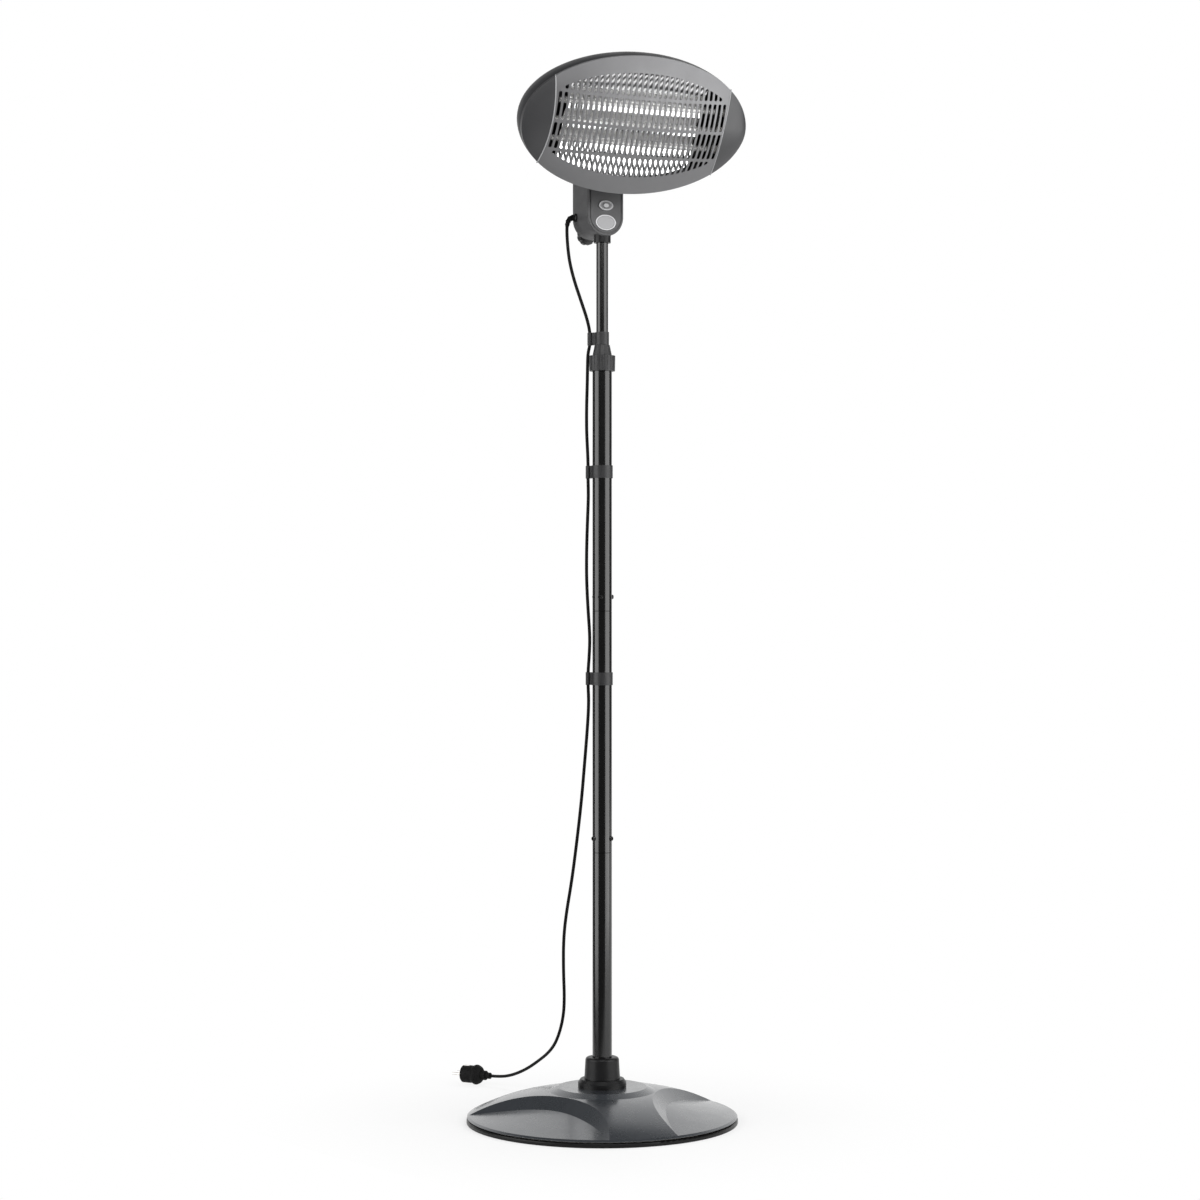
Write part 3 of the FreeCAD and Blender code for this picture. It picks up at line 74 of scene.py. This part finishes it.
# The mains cord and its route from the gland down to the plug, with the solid model's points.
CORD_DIAMETER = 0.006
CORD_SIDES = 14
CORD_ROUTE = [
    (-0.0405, 0.04, 1.6695), (-0.0445, 0.04, 1.6691), (-0.0496, 0.041, 1.6651),
    (-0.0528, 0.041, 1.6565), (-0.0536, 0.0404, 1.644), (-0.0534, 0.0392, 1.628),
    (-0.0523, 0.0374, 1.607), (-0.0496, 0.0352, 1.583), (-0.0429, 0.0303, 1.551),
    (-0.032, 0.0234, 1.513), (-0.0225, 0.0184, 1.481), (-0.01733, 0.01733, 1.458),
    (-0.01733, 0.01733, 1.443), (-0.01733, 0.01733, 1.432), (-0.0201, 0.0201, 1.416),
    (-0.0205, 0.0206, 1.392), (-0.0209, 0.021, 1.359), (-0.0219, 0.0219, 1.317),
    (-0.0218, 0.022, 1.272), (-0.0203, 0.0206, 1.235), (-0.0198, 0.0198, 1.212),
    (-0.0198, 0.0198, 1.197), (-0.0198, 0.0198, 1.182), (-0.0192, 0.0194, 1.152),
    (-0.0206, 0.0208, 1.106), (-0.0219, 0.0219, 1.052), (-0.0219, 0.022, 0.998),
    (-0.0197, 0.0199, 0.942), (-0.017, 0.0172, 0.892), (-0.0183, 0.0182, 0.856),
    (-0.0198, 0.0198, 0.83), (-0.0198, 0.0198, 0.802), (-0.0185, 0.0192, 0.772),
    (-0.02, 0.022, 0.726), (-0.0232, 0.0268, 0.665), (-0.0269, 0.0338, 0.59),
    (-0.0306, 0.0464, 0.515), (-0.0336, 0.0631, 0.44), (-0.0374, 0.0823, 0.373),
    (-0.0361, 0.0971, 0.324), (-0.0275, 0.1173, 0.265), (-0.0141, 0.1431, 0.204),
    (-0.0064, 0.1692, 0.162), (0.0003, 0.2133, 0.117), (0.0006, 0.2515, 0.089),
    (-0.0035, 0.2993, 0.064), (-0.0113, 0.3389, 0.043), (-0.024, 0.3774, 0.0265),
    (-0.03916, 0.40272, 0.0197), (-0.0541, 0.4215, 0.0197),
]

# The strain relief on the cord's first stretch.
BOOT_LENGTH = 0.024
BOOT_RADIUS = 0.0056
BOOT_TAPER = 0.0019
BOOT_RING_HEIGHT = 0.0004
BOOT_RINGS = 4
BOOT_SIDES = 24

# The head's own frame: the middle of its rim, tipped down, with -Y out of the face.
HEAD_CENTRE = (0, -0.142416, 1.813764)
HEAD_TILT = 31
HEAD = Matrix.Translation(HEAD_CENTRE) @ Matrix.Rotation(math.radians(HEAD_TILT), 4, "X")
FACE_HALF_WIDTH = 0.22389
FACE_HALF_TALL = 0.133926
FACE_BULGE = 0.0297

# The seams between the front panel and its end caps, in the head's frame, and the bright beads
# laid along them as a painted highlight of the panel's edge.
SEAM_OFFSET = 0.16772
SEAM_HALF_TALL = 0.083
SEAM_BOW = 0.0125
SEAM_BOW_HALF_TALL = 0.1333
SEAM_SINK = 0.0003
SEAM_STEPS = 40
HIGHLIGHT_BEAD_RADIUS = 0.0011
HIGHLIGHT_BEAD_SIDES = 8

# The heating wires, in the head's frame.
COIL_HEIGHTS = (-0.036, 0, 0.036)
COIL_DEPTH = 0.006
COIL_HALF_LENGTH = 0.168
COIL_RADIUS = 0.0034
COIL_TURNS = 122
COIL_STEPS = 12
WIRE_RADIUS = 0.00028
WIRE_SIDES = 5

# The screws at the back of the head's shell and of the control box.
SCREW_SIDES = 48
SCREW_HEIGHT_SHARE = 0.45
SCREW_TWIST = 0.7
SCREW_START = 0.2
SHELL_SCREW_RADIUS = 0.0038
SHELL_SCREW_X = (-0.095, 0.095)
SHELL_SCREW_Z = (-0.03, 0.03)
BOX_SCREW_RADIUS = 0.0032
BOX_SCREW_PAIRS = ((0.029, 1.734), (0.027, 1.66))

# The silver ovals on the box: middle (X and Z), half sizes, and grey levels from the middle out,
# partly the silver's own tones and partly a painted highlight on the rim with painted shade
# beside it.
BADGE_MIDDLE = (0, 1.656)
BADGE_HALF_SIZES = (0.02, 0.014)
# Badge: the field's own grey, a thin dark line of painted shade, then a painted highlight on the
# rim.
BADGE_TONES_AND_RIM_LIGHT = [(0.82, 0.26), (0.86, 0.1), (0.9, 0.5)]
BUTTON_MIDDLE = (0, 1.687)
BUTTON_HALF_SIZES = (0.014, 0.009)
# Button: a light centre icon and a darker ring in their own greys, then a painted highlight on
# the rim.
BUTTON_TONES_AND_RIM_LIGHT = [(0.36, 0.42), (0.42, 0.1), (0.74, 0.16), (0.82, 0.36)]

# The studio: how bright the world is and where its white backdrop shows in reflections (as the
# cosine of the angle from the backdrop's middle), and the floor.
WORLD_LEVEL = 0.11
BACKDROP_ELEVATION = 12
BACKDROP_EDGE = (0.67, 0.82)
FLOOR_CENTRE = (3.29, 0.99, 0)
FLOOR_RADIUS = 4
FLOOR_SIDES = 96
FLOOR_CLEAR = 0.7
FLOOR_NEAR_SHARE = 0.45


def direction(azimuth, elevation=0):
    """Unit vector from the object to a place around it; azimuth 0 is in front."""
    a, e = math.radians(azimuth), math.radians(elevation)
    return Vector((math.sin(a) * math.cos(e), -math.cos(a) * math.cos(e), math.sin(e)))


def make_camera():
    data = bpy.data.cameras.new("photo_camera")
    data.lens = LENS
    data.sensor_width = SENSOR
    data.clip_end = 100
    camera = bpy.data.objects.new("photo_camera", data)
    scene.collection.objects.link(camera)
    back = direction(VIEW_AZIMUTH)
    right = direction(VIEW_AZIMUTH + 90)
    camera.location = back * VIEW_DISTANCE + right * VIEW_SIDESTEP + Vector((0, 0, VIEW_HEIGHT))
    camera.rotation_mode = "QUATERNION"
    camera.rotation_quaternion = (-back).to_track_quat("-Z", "Y")
    scene.camera = camera


# Node building

class Shader:
    """A material's nodes, with its principled shader ready to set."""

    def __init__(self, name):
        self.material = bpy.data.materials.new(name)
        self.material.use_nodes = True
        self.tree = self.material.node_tree
        self.surface = self.tree.nodes["Principled BSDF"]
        self.where = self.add("ShaderNodeTexCoord").outputs["Object"]

    def add(self, kind, **inputs):
        node = self.tree.nodes.new(kind)
        for name, amount in inputs.items():
            node.inputs[name.replace("_", " ")].default_value = amount
        return node

    def link(self, source, node, socket):
        self.tree.links.new(source, node.inputs[socket])

    def set(self, **amounts):
        for name, amount in amounts.items():
            self.surface.inputs[name.replace("_", " ")].default_value = amount

    def stretched(self, scale):
        """Object coordinates scaled by an amount per axis."""
        mapping = self.add("ShaderNodeMapping", Scale=scale)
        self.link(self.where, mapping, "Vector")
        return mapping.outputs["Vector"]

    def noise(self, scale, detail=3, stretch=None):
        node = self.add("ShaderNodeTexNoise", Scale=scale, Detail=detail)
        self.link(self.stretched(stretch) if stretch else self.where, node, "Vector")
        return node.outputs["Fac"]

    def between(self, source, low, high, start=0.3, end=0.7):
        """Colours or grey levels picked by a texture's value."""
        ramp = self.add("ShaderNodeValToRGB")
        ramp.color_ramp.elements[0].position = start
        ramp.color_ramp.elements[1].position = end
        for element, amount in zip(ramp.color_ramp.elements, (low, high)):
            shade = amount if isinstance(amount, tuple) else (amount,) * 3
            element.color = (*shade, 1)
        self.link(source, ramp, "Fac")
        return ramp.outputs["Color"]

    def oval_distance(self, centre, half_wide, half_tall):
        """Distance from an oval's centre in the XZ plane, 1 on the oval."""
        mapping = self.add("ShaderNodeMapping", Scale=(1 / half_wide, 0, 1 / half_tall),
                           Location=(-centre[0] / half_wide, 0, -centre[1] / half_tall))
        self.link(self.where, mapping, "Vector")
        reach = self.add("ShaderNodeVectorMath")
        reach.operation = "LENGTH"
        self.link(mapping.outputs["Vector"], reach, 0)
        return reach.outputs["Value"]

    def bands(self, source, stops):
        """Base colour in bands of grey, each stop a position and a level."""
        ramp = self.add("ShaderNodeValToRGB")
        elements = ramp.color_ramp.elements
        elements[1].position = stops[-1][0]
        elements[0].position = stops[0][0]
        for position, _ in stops[1:-1]:
            elements.new(position)
        for element, (_, level) in zip(elements, stops):
            element.color = (level, level, level * 1.02, 1)
        self.link(source, ramp, "Fac")
        self.link(ramp.outputs["Color"], self.surface, "Base Color")

    def colour(self, source, shade, spread, start=0.3, end=0.7):
        """Base colour that varies by a share of itself."""
        low = tuple(part * (1 - spread) for part in shade)
        high = tuple(part * (1 + spread) for part in shade)
        self.link(self.between(source, low, high, start, end), self.surface, "Base Color")

    def roughness(self, source, low, high):
        self.link(self.between(source, low, high), self.surface, "Roughness")

    def bump(self, source, depth, strength=1.0):
        node = self.add("ShaderNodeBump", Strength=strength, Distance=depth)
        self.link(source, node, "Height")
        self.link(node.outputs["Normal"], self.surface, "Normal")


def paint(name, shade, rough, metallic=0.0, coat=0.0, shine=0.5, peel=0.00002, flake=0.06):
    """Sprayed or powder-coated metal: fine flakes and a slight orange peel."""
    shader = Shader(name)
    shader.set(Metallic=metallic, Specular_IOR_Level=shine, Coat_Weight=coat, Coat_Roughness=0.18)
    shader.colour(shader.noise(2600, 2), shade, flake)
    shader.roughness(shader.noise(35, 4), rough * 0.9, rough * 1.12)
    shader.bump(shader.noise(420, 2), peel)
    return shader.material


def moulding(name, shade, rough, grain=1500, depth=0.00006, spread=0.1, shine=0.45):
    """Moulded plastic with a spark-eroded texture."""
    shader = Shader(name)
    shader.set(Specular_IOR_Level=shine)
    texture = shader.noise(grain, 4)
    shader.colour(texture, shade, spread)
    shader.roughness(shader.noise(60, 4), rough * 0.88, rough * 1.1)
    shader.bump(texture, depth)
    return shader.material


def metal(name, shade, rough, streak=None, scale=300, depth=0.000008):
    """Bare or plated metal, brushed along the direction that the streak leaves short."""
    shader = Shader(name)
    shader.set(Metallic=1.0)
    texture = shader.noise(scale, 4, streak)
    shader.colour(texture, shade, 0.05)
    shader.roughness(texture, rough * 0.8, rough * 1.25)
    shader.bump(texture, depth)
    return shader.material


def quartz(name):
    """Clear quartz, faintly milky, around the coil."""
    shader = Shader(name)
    shader.set(Roughness=0.08, IOR=1.46, Transmission_Weight=0.85)
    shader.colour(shader.noise(90, 3, (1, 6, 6)), (0.95, 0.95, 0.945), 0.03)
    return shader.material


def cast_weight(name):
    shader = Shader(name)
    texture = shader.noise(240, 6)
    shader.colour(texture, (0.28, 0.275, 0.265), 0.25)
    shader.roughness(texture, 0.8, 0.95)
    shader.bump(texture, 0.0008)
    return shader.material


def rubber(name, shade, rough, shine):
    shader = Shader(name)
    shader.set(Specular_IOR_Level=shine)
    shader.colour(shader.noise(700, 3), shade, 0.15)
    shader.roughness(shader.noise(120, 3), rough * 0.85, rough * 1.15)
    shader.bump(shader.noise(900, 3), 0.00003)
    return shader.material


def silver_oval_with_rim_light(name, centre, half_wide, half_tall, stops):
    """Satin silver moulding in grey bands: its own field and border tones, with a painted
    highlight on the rim and painted shade beside it.
    """
    shader = Shader(name)
    shader.set(Metallic=0.2)
    shader.bands(shader.oval_distance(centre, half_wide, half_tall), stops)
    shader.roughness(shader.noise(60, 4), 0.3, 0.38)
    shader.bump(shader.noise(900, 3), 0.00002)
    return shader.material


MATERIALS = {
    "base_cover_paint": paint("base_cover_paint", (0.042, 0.047, 0.054), 0.28, 0.4, 0.6,
                              peel=0.000004, flake=0.03),
    "cast_iron": cast_weight("cast_iron"),
    "black_rubber": rubber("black_rubber", (0.004, 0.004, 0.004), 0.35, 0.2),
    "zinc_steel": metal("zinc_steel", (0.25, 0.255, 0.26), 0.45),
    "black_plastic": moulding("black_plastic", (0.006, 0.006, 0.0065), 0.38, depth=0.00003,
                              shine=0.25),
    "black_gloss_paint": paint("black_gloss_paint", (0.002, 0.002, 0.0021), 0.17, shine=0.7,
                               peel=0.000003),
    "black_screws": metal("black_screws", (0.05, 0.05, 0.05), 0.35),
    "charcoal_plastic": moulding("charcoal_plastic", (0.017, 0.017, 0.018), 0.46),
    "box_plastic": moulding("box_plastic", (0.064, 0.064, 0.066), 0.5),
    "silver_plastic": paint("silver_plastic", (0.36, 0.363, 0.37), 0.32, 0.3),
    "white_plastic": moulding("white_plastic", (0.8, 0.8, 0.78), 0.4, depth=0.00002),
    "panel_paint": paint("panel_paint", (0.175, 0.175, 0.179), 0.4, 0.45),
    "cap_plastic": moulding("cap_plastic", (0.045, 0.045, 0.047), 0.34, depth=0.00002),
    "shell_paint": paint("shell_paint", (0.028, 0.028, 0.03), 0.45, shine=0.2),
    "bright_aluminium": metal("bright_aluminium", (0.94, 0.94, 0.945), 0.07, (0.04, 1, 1)),
    "quartz": quartz("quartz"),
    "coil_wire": metal("coil_wire", (0.72, 0.7, 0.68), 0.4, scale=1500),
    "ceramic": moulding("ceramic", (0.84, 0.82, 0.78), 0.55, depth=0.00003, spread=0.04),
    "cord_rubber": rubber("cord_rubber", (0.008, 0.008, 0.008), 0.6, 0.08),
    "nickel": metal("nickel", (0.75, 0.73, 0.7), 0.18),
}


def dress_nodes():
    """Give every solid the finish of its slot in the record."""
    for part in frame["record"]["subparts"]:
        mesh = frame["nodes"][part["node"]].data
        mesh.materials.clear()
        mesh.materials.append(MATERIALS[part["material_slot"]])
    # The badge and button get grey bands with a painted highlight on their rims.
    frame["nodes"]["badge_plate"].data.materials[0] = silver_oval_with_rim_light(
        "badge_silver_and_rim_light", BADGE_MIDDLE, *BADGE_HALF_SIZES, BADGE_TONES_AND_RIM_LIGHT)
    frame["nodes"]["power_button"].data.materials[0] = silver_oval_with_rim_light(
        "button_silver_and_rim_light", BUTTON_MIDDLE, *BUTTON_HALF_SIZES, BUTTON_TONES_AND_RIM_LIGHT)


# Pieces

def new_piece(name, vertices, faces, slot, smooth=True):
    mesh = bpy.data.meshes.new(name)
    mesh.from_pydata(vertices, [], faces)
    mesh.validate()
    mesh.polygons.foreach_set("use_smooth", [smooth] * len(mesh.polygons))
    mesh.materials.append(MATERIALS[slot])
    piece = bpy.data.objects.new(name, mesh)
    scene.collection.objects.link(piece)
    return piece


def spline_points(route):
    """Points along the smooth line that a route's points control."""
    curve = bpy.data.curves.new("route", "CURVE")
    curve.dimensions = "3D"
    spline = curve.splines.new("NURBS")
    spline.points.add(len(route) - 1)
    for point, place in zip(spline.points, route):
        point.co = (*place, 1)
    spline.order_u = 3
    spline.use_endpoint_u = True
    spline.resolution_u = 10
    holder = bpy.data.objects.new("route", curve)
    mesh = bpy.data.meshes.new_from_object(holder)
    points = [vertex.co.copy() for vertex in mesh.vertices]
    bpy.data.objects.remove(holder)
    bpy.data.curves.remove(curve)
    bpy.data.meshes.remove(mesh)
    return points


def tube(points, radius, sides):
    """Closed tube around a line of points, without twist, with one radius or one per point."""
    radii = radius if isinstance(radius, list) else [radius] * len(points)
    vertices, faces = [], []
    across = None
    last = len(points) - 1
    for index, point in enumerate(points):
        ahead = (points[min(index + 1, last)] - points[max(index - 1, 0)]).normalized()
        if across is None:
            across = ahead.orthogonal().normalized()
        across = (across - ahead * across.dot(ahead)).normalized()
        other = ahead.cross(across)
        for side in range(sides):
            turn = math.tau * side / sides
            outward = across * math.cos(turn) + other * math.sin(turn)
            vertices.append(point + outward * radii[index])
    for index in range(last):
        for side in range(sides):
            near, far = index * sides, (index + 1) * sides
            after = (side + 1) % sides
            faces.append((near + side, near + after, far + after, far + side))
    faces.append(tuple(reversed(range(sides))))
    faces.append(tuple(last * sides + side for side in range(sides)))
    return vertices, faces


def face_depth(x, z):
    """How far the domed face stands out at a place, in the head's frame."""
    shrink = math.sqrt(1 - (x / FACE_HALF_WIDTH) ** 2)
    half, rise = FACE_HALF_TALL * shrink, FACE_BULGE * shrink
    radius = (half ** 2 + rise ** 2) / (2 * rise)
    return radius - rise - math.sqrt(radius ** 2 - z ** 2)


def make_seam_highlights():
    """Fine bright beads where the end caps meet the panel, a painted highlight standing for the
    light that the panel's edge catches.
    """
    for side, sign in (("left", -1), ("right", 1)):
        points = []
        for step in range(SEAM_STEPS + 1):
            z = SEAM_HALF_TALL * (2 * step / SEAM_STEPS - 1)
            x = sign * (SEAM_OFFSET + SEAM_BOW * (z / SEAM_BOW_HALF_TALL) ** 2)
            points.append(HEAD @ Vector((x, face_depth(x, z) + SEAM_SINK, z)))
        # Each bead is a painted highlight: a silver strip where only the panel's lit edge shows.
        bead = new_piece(f"seam_highlight_bead_{side}", *tube(points, HIGHLIGHT_BEAD_RADIUS, HIGHLIGHT_BEAD_SIDES),
                         "silver_plastic")
        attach(bead, "head")


def make_coils():
    """Wound heating wire inside each quartz tube."""
    last = COIL_TURNS * COIL_STEPS
    wires = []
    for height in COIL_HEIGHTS:
        points = []
        for step in range(last + 1):
            turn = math.tau * step / COIL_STEPS
            along = COIL_HALF_LENGTH * (2 * step / last - 1)
            points.append(HEAD @ Vector((along, COIL_DEPTH + COIL_RADIUS * math.cos(turn),
                                         height + COIL_RADIUS * math.sin(turn))))
        wires.append(tube(points, WIRE_RADIUS, WIRE_SIDES))
    coils = new_piece("coil_wires", *joined(wires), "coil_wire")
    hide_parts("heating_coils")
    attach(coils, "head")


def joined(parts):
    """One list of vertices and faces from several."""
    vertices, faces = [], []
    for more_vertices, more_faces in parts:
        start = len(vertices)
        vertices += more_vertices
        faces += [tuple(start + corner for corner in face) for face in more_faces]
    return vertices, faces


def screw_head(radius, height):
    """Pan head with a cross recess, on the XY plane."""
    sides = SCREW_SIDES
    rings = [(1, 0), (1, 0.35), (0.93, 0.66), (0.78, 0.88), (0.55, 1)]
    vertices, faces = [], []
    for share, lift in rings:
        for side in range(sides):
            turn = math.tau * side / sides
            vertices.append(Vector((math.cos(turn), math.sin(turn), 0)) * share * radius
                            + Vector((0, 0, lift * height)))
    for lift in (1, 0.4):
        for side in range(sides):
            turn = math.tau * side / sides
            slot = math.remainder(turn, math.tau / 4)
            share = min(0.5, 0.11 / max(abs(math.sin(slot)), 0.001))
            vertices.append(Vector((math.cos(turn), math.sin(turn), 0)) * share * radius
                            + Vector((0, 0, lift * height)))
    for ring in range(len(rings) + 1):
        for side in range(sides):
            after = (side + 1) % sides
            near, far = ring * sides, (ring + 1) * sides
            faces.append((near + side, near + after, far + after, far + side))
    vertices.append(Vector((0, 0, 0.4 * height)))
    last = (len(rings) + 1) * sides
    for side in range(sides):
        faces.append((last + side, last + (side + 1) % sides, len(vertices) - 1))
    return vertices, faces


def make_screws(name, node, body, places, inward, radius):
    """Screw heads on a solid's surface, each below a place along a direction."""
    mesh = frame["nodes"][node].data
    surface = BVHTree.FromPolygons([vertex.co for vertex in mesh.vertices],
                                   [polygon.vertices for polygon in mesh.polygons])
    heads = []
    for index, place in enumerate(places):
        spot, normal, _, _ = surface.ray_cast(place, inward)
        turn = Matrix.Rotation(SCREW_TWIST * index, 4, "Z")
        upright = normal.to_track_quat("Z", "Y").to_matrix().to_4x4()
        stand = Matrix.Translation(spot) @ upright @ turn
        vertices, faces = screw_head(radius, SCREW_HEIGHT_SHARE * radius)
        heads.append(([stand @ vertex for vertex in vertices], faces))
    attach(new_piece(name, *joined(heads), "black_screws", smooth=False), body)


def make_all_screws():
    forward = Vector((0, -1, 0))
    back = [HEAD @ Vector((x, SCREW_START, z)) for x in SHELL_SCREW_X for z in SHELL_SCREW_Z]
    make_screws("shell_screws", "rear_shell", "head", back, HEAD.to_3x3() @ forward,
                SHELL_SCREW_RADIUS)
    corners = [Vector((side * x, SCREW_START, z)) for x, z in BOX_SCREW_PAIRS for side in (-1, 1)]
    make_screws("box_screws", "box_body", "mast", corners, forward, BOX_SCREW_RADIUS)


def make_boot(points):
    """Tapered strain relief with grip rings around the cord's first stretch."""
    line, radii, run = [], [], 0.0
    for last, point in zip(points, points[1:]):
        run += (point - last).length
        share = run / BOOT_LENGTH
        if share > 1:
            break
        line.append(point)
        radii.append(BOOT_RADIUS - BOOT_TAPER * share
                     + BOOT_RING_HEIGHT * math.sin(share * math.tau * BOOT_RINGS))
    piece = new_piece("cord_boot", *tube(line, radii, BOOT_SIDES), "cord_rubber")
    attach(piece, "mast")


def make_cord():
    points = spline_points(CORD_ROUTE)
    cord = new_piece("mains_cord", *tube(points, CORD_DIAMETER / 2, CORD_SIDES), "cord_rubber")
    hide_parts("cord_top", "cord_middle", "cord_lower")
    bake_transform(cord)
    make_boot(points)


# Studio

def softbox(name, azimuth, elevation, distance, wide, tall, level, mirrored=True):
    """Area lamp aimed at the middle of the object; level is its brightness seen directly."""
    middle = (cad_box[0] + cad_box[1]) / 2
    middle.x = middle.y = 0
    data = bpy.data.lights.new(name, "AREA")
    data.shape = "RECTANGLE"
    data.size = wide
    data.size_y = tall
    data.energy = level * math.pi * wide * tall
    lamp = bpy.data.objects.new(name, data)
    scene.collection.objects.link(lamp)
    lamp.location = middle + direction(azimuth, elevation) * distance
    lamp.rotation_mode = "QUATERNION"
    lamp.rotation_quaternion = (-direction(azimuth, elevation)).to_track_quat("-Z", "Y")
    lamp.visible_camera = False
    lamp.visible_glossy = mirrored


def largest(tree, *sources):
    """The largest of some values."""
    total = sources[0]
    for source in sources[1:]:
        larger = tree.nodes.new("ShaderNodeMath")
        larger.operation = "MAXIMUM"
        tree.links.new(total, larger.inputs[0])
        tree.links.new(source, larger.inputs[1])
        total = larger.outputs[0]
    return total


def towards_backdrop(tree):
    """1 for directions to the white backdrop behind the object, 0 for the rest of the studio."""
    ray = tree.nodes.new("ShaderNodeTexCoord")
    facing = tree.nodes.new("ShaderNodeVectorMath")
    facing.operation = "DOT_PRODUCT"
    facing.inputs[1].default_value = direction(VIEW_AZIMUTH + 180, BACKDROP_ELEVATION)
    tree.links.new(ray.outputs["Generated"], facing.inputs[0])
    edge = tree.nodes.new("ShaderNodeMapRange")
    edge.interpolation_type = "SMOOTHSTEP"
    edge.inputs["From Min"].default_value = BACKDROP_EDGE[0]
    edge.inputs["From Max"].default_value = BACKDROP_EDGE[1]
    tree.links.new(facing.outputs["Value"], edge.inputs["Value"])
    return edge.outputs["Result"]


def make_world():
    """Soft light from all around and a white background.

    The camera and glass see the white everywhere, reflections only behind the object.
    """
    world = bpy.data.worlds.new("studio")
    scene.world = world
    world.use_nodes = True
    tree = world.node_tree
    path = tree.nodes.new("ShaderNodeLightPath")
    mirrored = tree.nodes.new("ShaderNodeMath")
    mirrored.operation = "MULTIPLY"
    tree.links.new(path.outputs["Is Glossy Ray"], mirrored.inputs[0])
    tree.links.new(towards_backdrop(tree), mirrored.inputs[1])
    seen = largest(tree, path.outputs["Is Camera Ray"], path.outputs["Is Transmission Ray"],
                   mirrored.outputs[0])
    mix = tree.nodes.new("ShaderNodeMixShader")
    tree.links.new(seen, mix.inputs[0])
    light, white = tree.nodes["Background"], tree.nodes.new("ShaderNodeBackground")
    for shader, strength, socket in ((light, WORLD_LEVEL, 1), (white, 1, 2)):
        shader.inputs["Color"].default_value = (1, 1, 1, 1)
        shader.inputs["Strength"].default_value = strength
        tree.links.new(shader.outputs[0], mix.inputs[socket])
    tree.links.new(mix.outputs[0], tree.nodes["World Output"].inputs["Surface"])


def make_floor():
    """Pale round floor that turns into the white background away from the object."""
    mesh = bpy.data.meshes.new("floor")
    ring = [Vector(FLOOR_CENTRE) + direction(360 * side / FLOOR_SIDES) * FLOOR_RADIUS
            for side in range(FLOOR_SIDES)]
    mesh.from_pydata(ring, [], [tuple(range(FLOOR_SIDES))])
    floor = bpy.data.objects.new("floor", mesh)
    scene.collection.objects.link(floor)
    shader = Shader("floor")
    shader.set(Base_Color=(0.8, 0.8, 0.8, 1), Roughness=0.9, Specular_IOR_Level=0.1)
    tree = shader.tree
    glow = shader.add("ShaderNodeEmission")
    reach = shader.add("ShaderNodeVectorMath")
    reach.operation = "LENGTH"
    shader.link(shader.where, reach, 0)
    fade = shader.add("ShaderNodeMapRange")
    fade.interpolation_type = "SMOOTHSTEP"
    fade.inputs["From Max"].default_value = FLOOR_CLEAR
    fade.inputs["To Min"].default_value = FLOOR_NEAR_SHARE
    shader.link(reach.outputs["Value"], fade, "Value")
    share = shader.add("ShaderNodeMath")
    share.operation = "MULTIPLY"
    shader.link(fade.outputs["Result"], share, 0)
    path = shader.add("ShaderNodeLightPath")
    seen = [path.outputs[f"Is {ray} Ray"] for ray in ("Camera", "Glossy", "Transmission")]
    shader.link(largest(tree, *seen), share, 1)
    mix = shader.add("ShaderNodeMixShader")
    shader.link(share.outputs[0], mix, 0)
    shader.link(shader.surface.outputs[0], mix, 1)
    shader.link(glow.outputs[0], mix, 2)
    shader.link(mix.outputs[0], tree.nodes["Material Output"], "Surface")
    mesh.materials.append(shader.material)


make_camera()
dress_nodes()
make_cord()
make_seam_highlights()
make_coils()
make_all_screws()
make_world()
make_floor()
softbox("left_box", VIEW_AZIMUTH - 70, elevation=6, distance=2.6, wide=2.4, tall=2.8, level=3.0)
softbox("right_box", VIEW_AZIMUTH + 65, elevation=6, distance=2.6, wide=2.8, tall=2.8, level=3.1)
softbox("front_box", VIEW_AZIMUTH + 4, elevation=34, distance=3.2, wide=2.6, tall=1.4, level=4.2)
softbox("back_box", VIEW_AZIMUTH + 165, elevation=36, distance=3.0, wide=2.4, tall=1.8, level=4.8,
        mirrored=False)
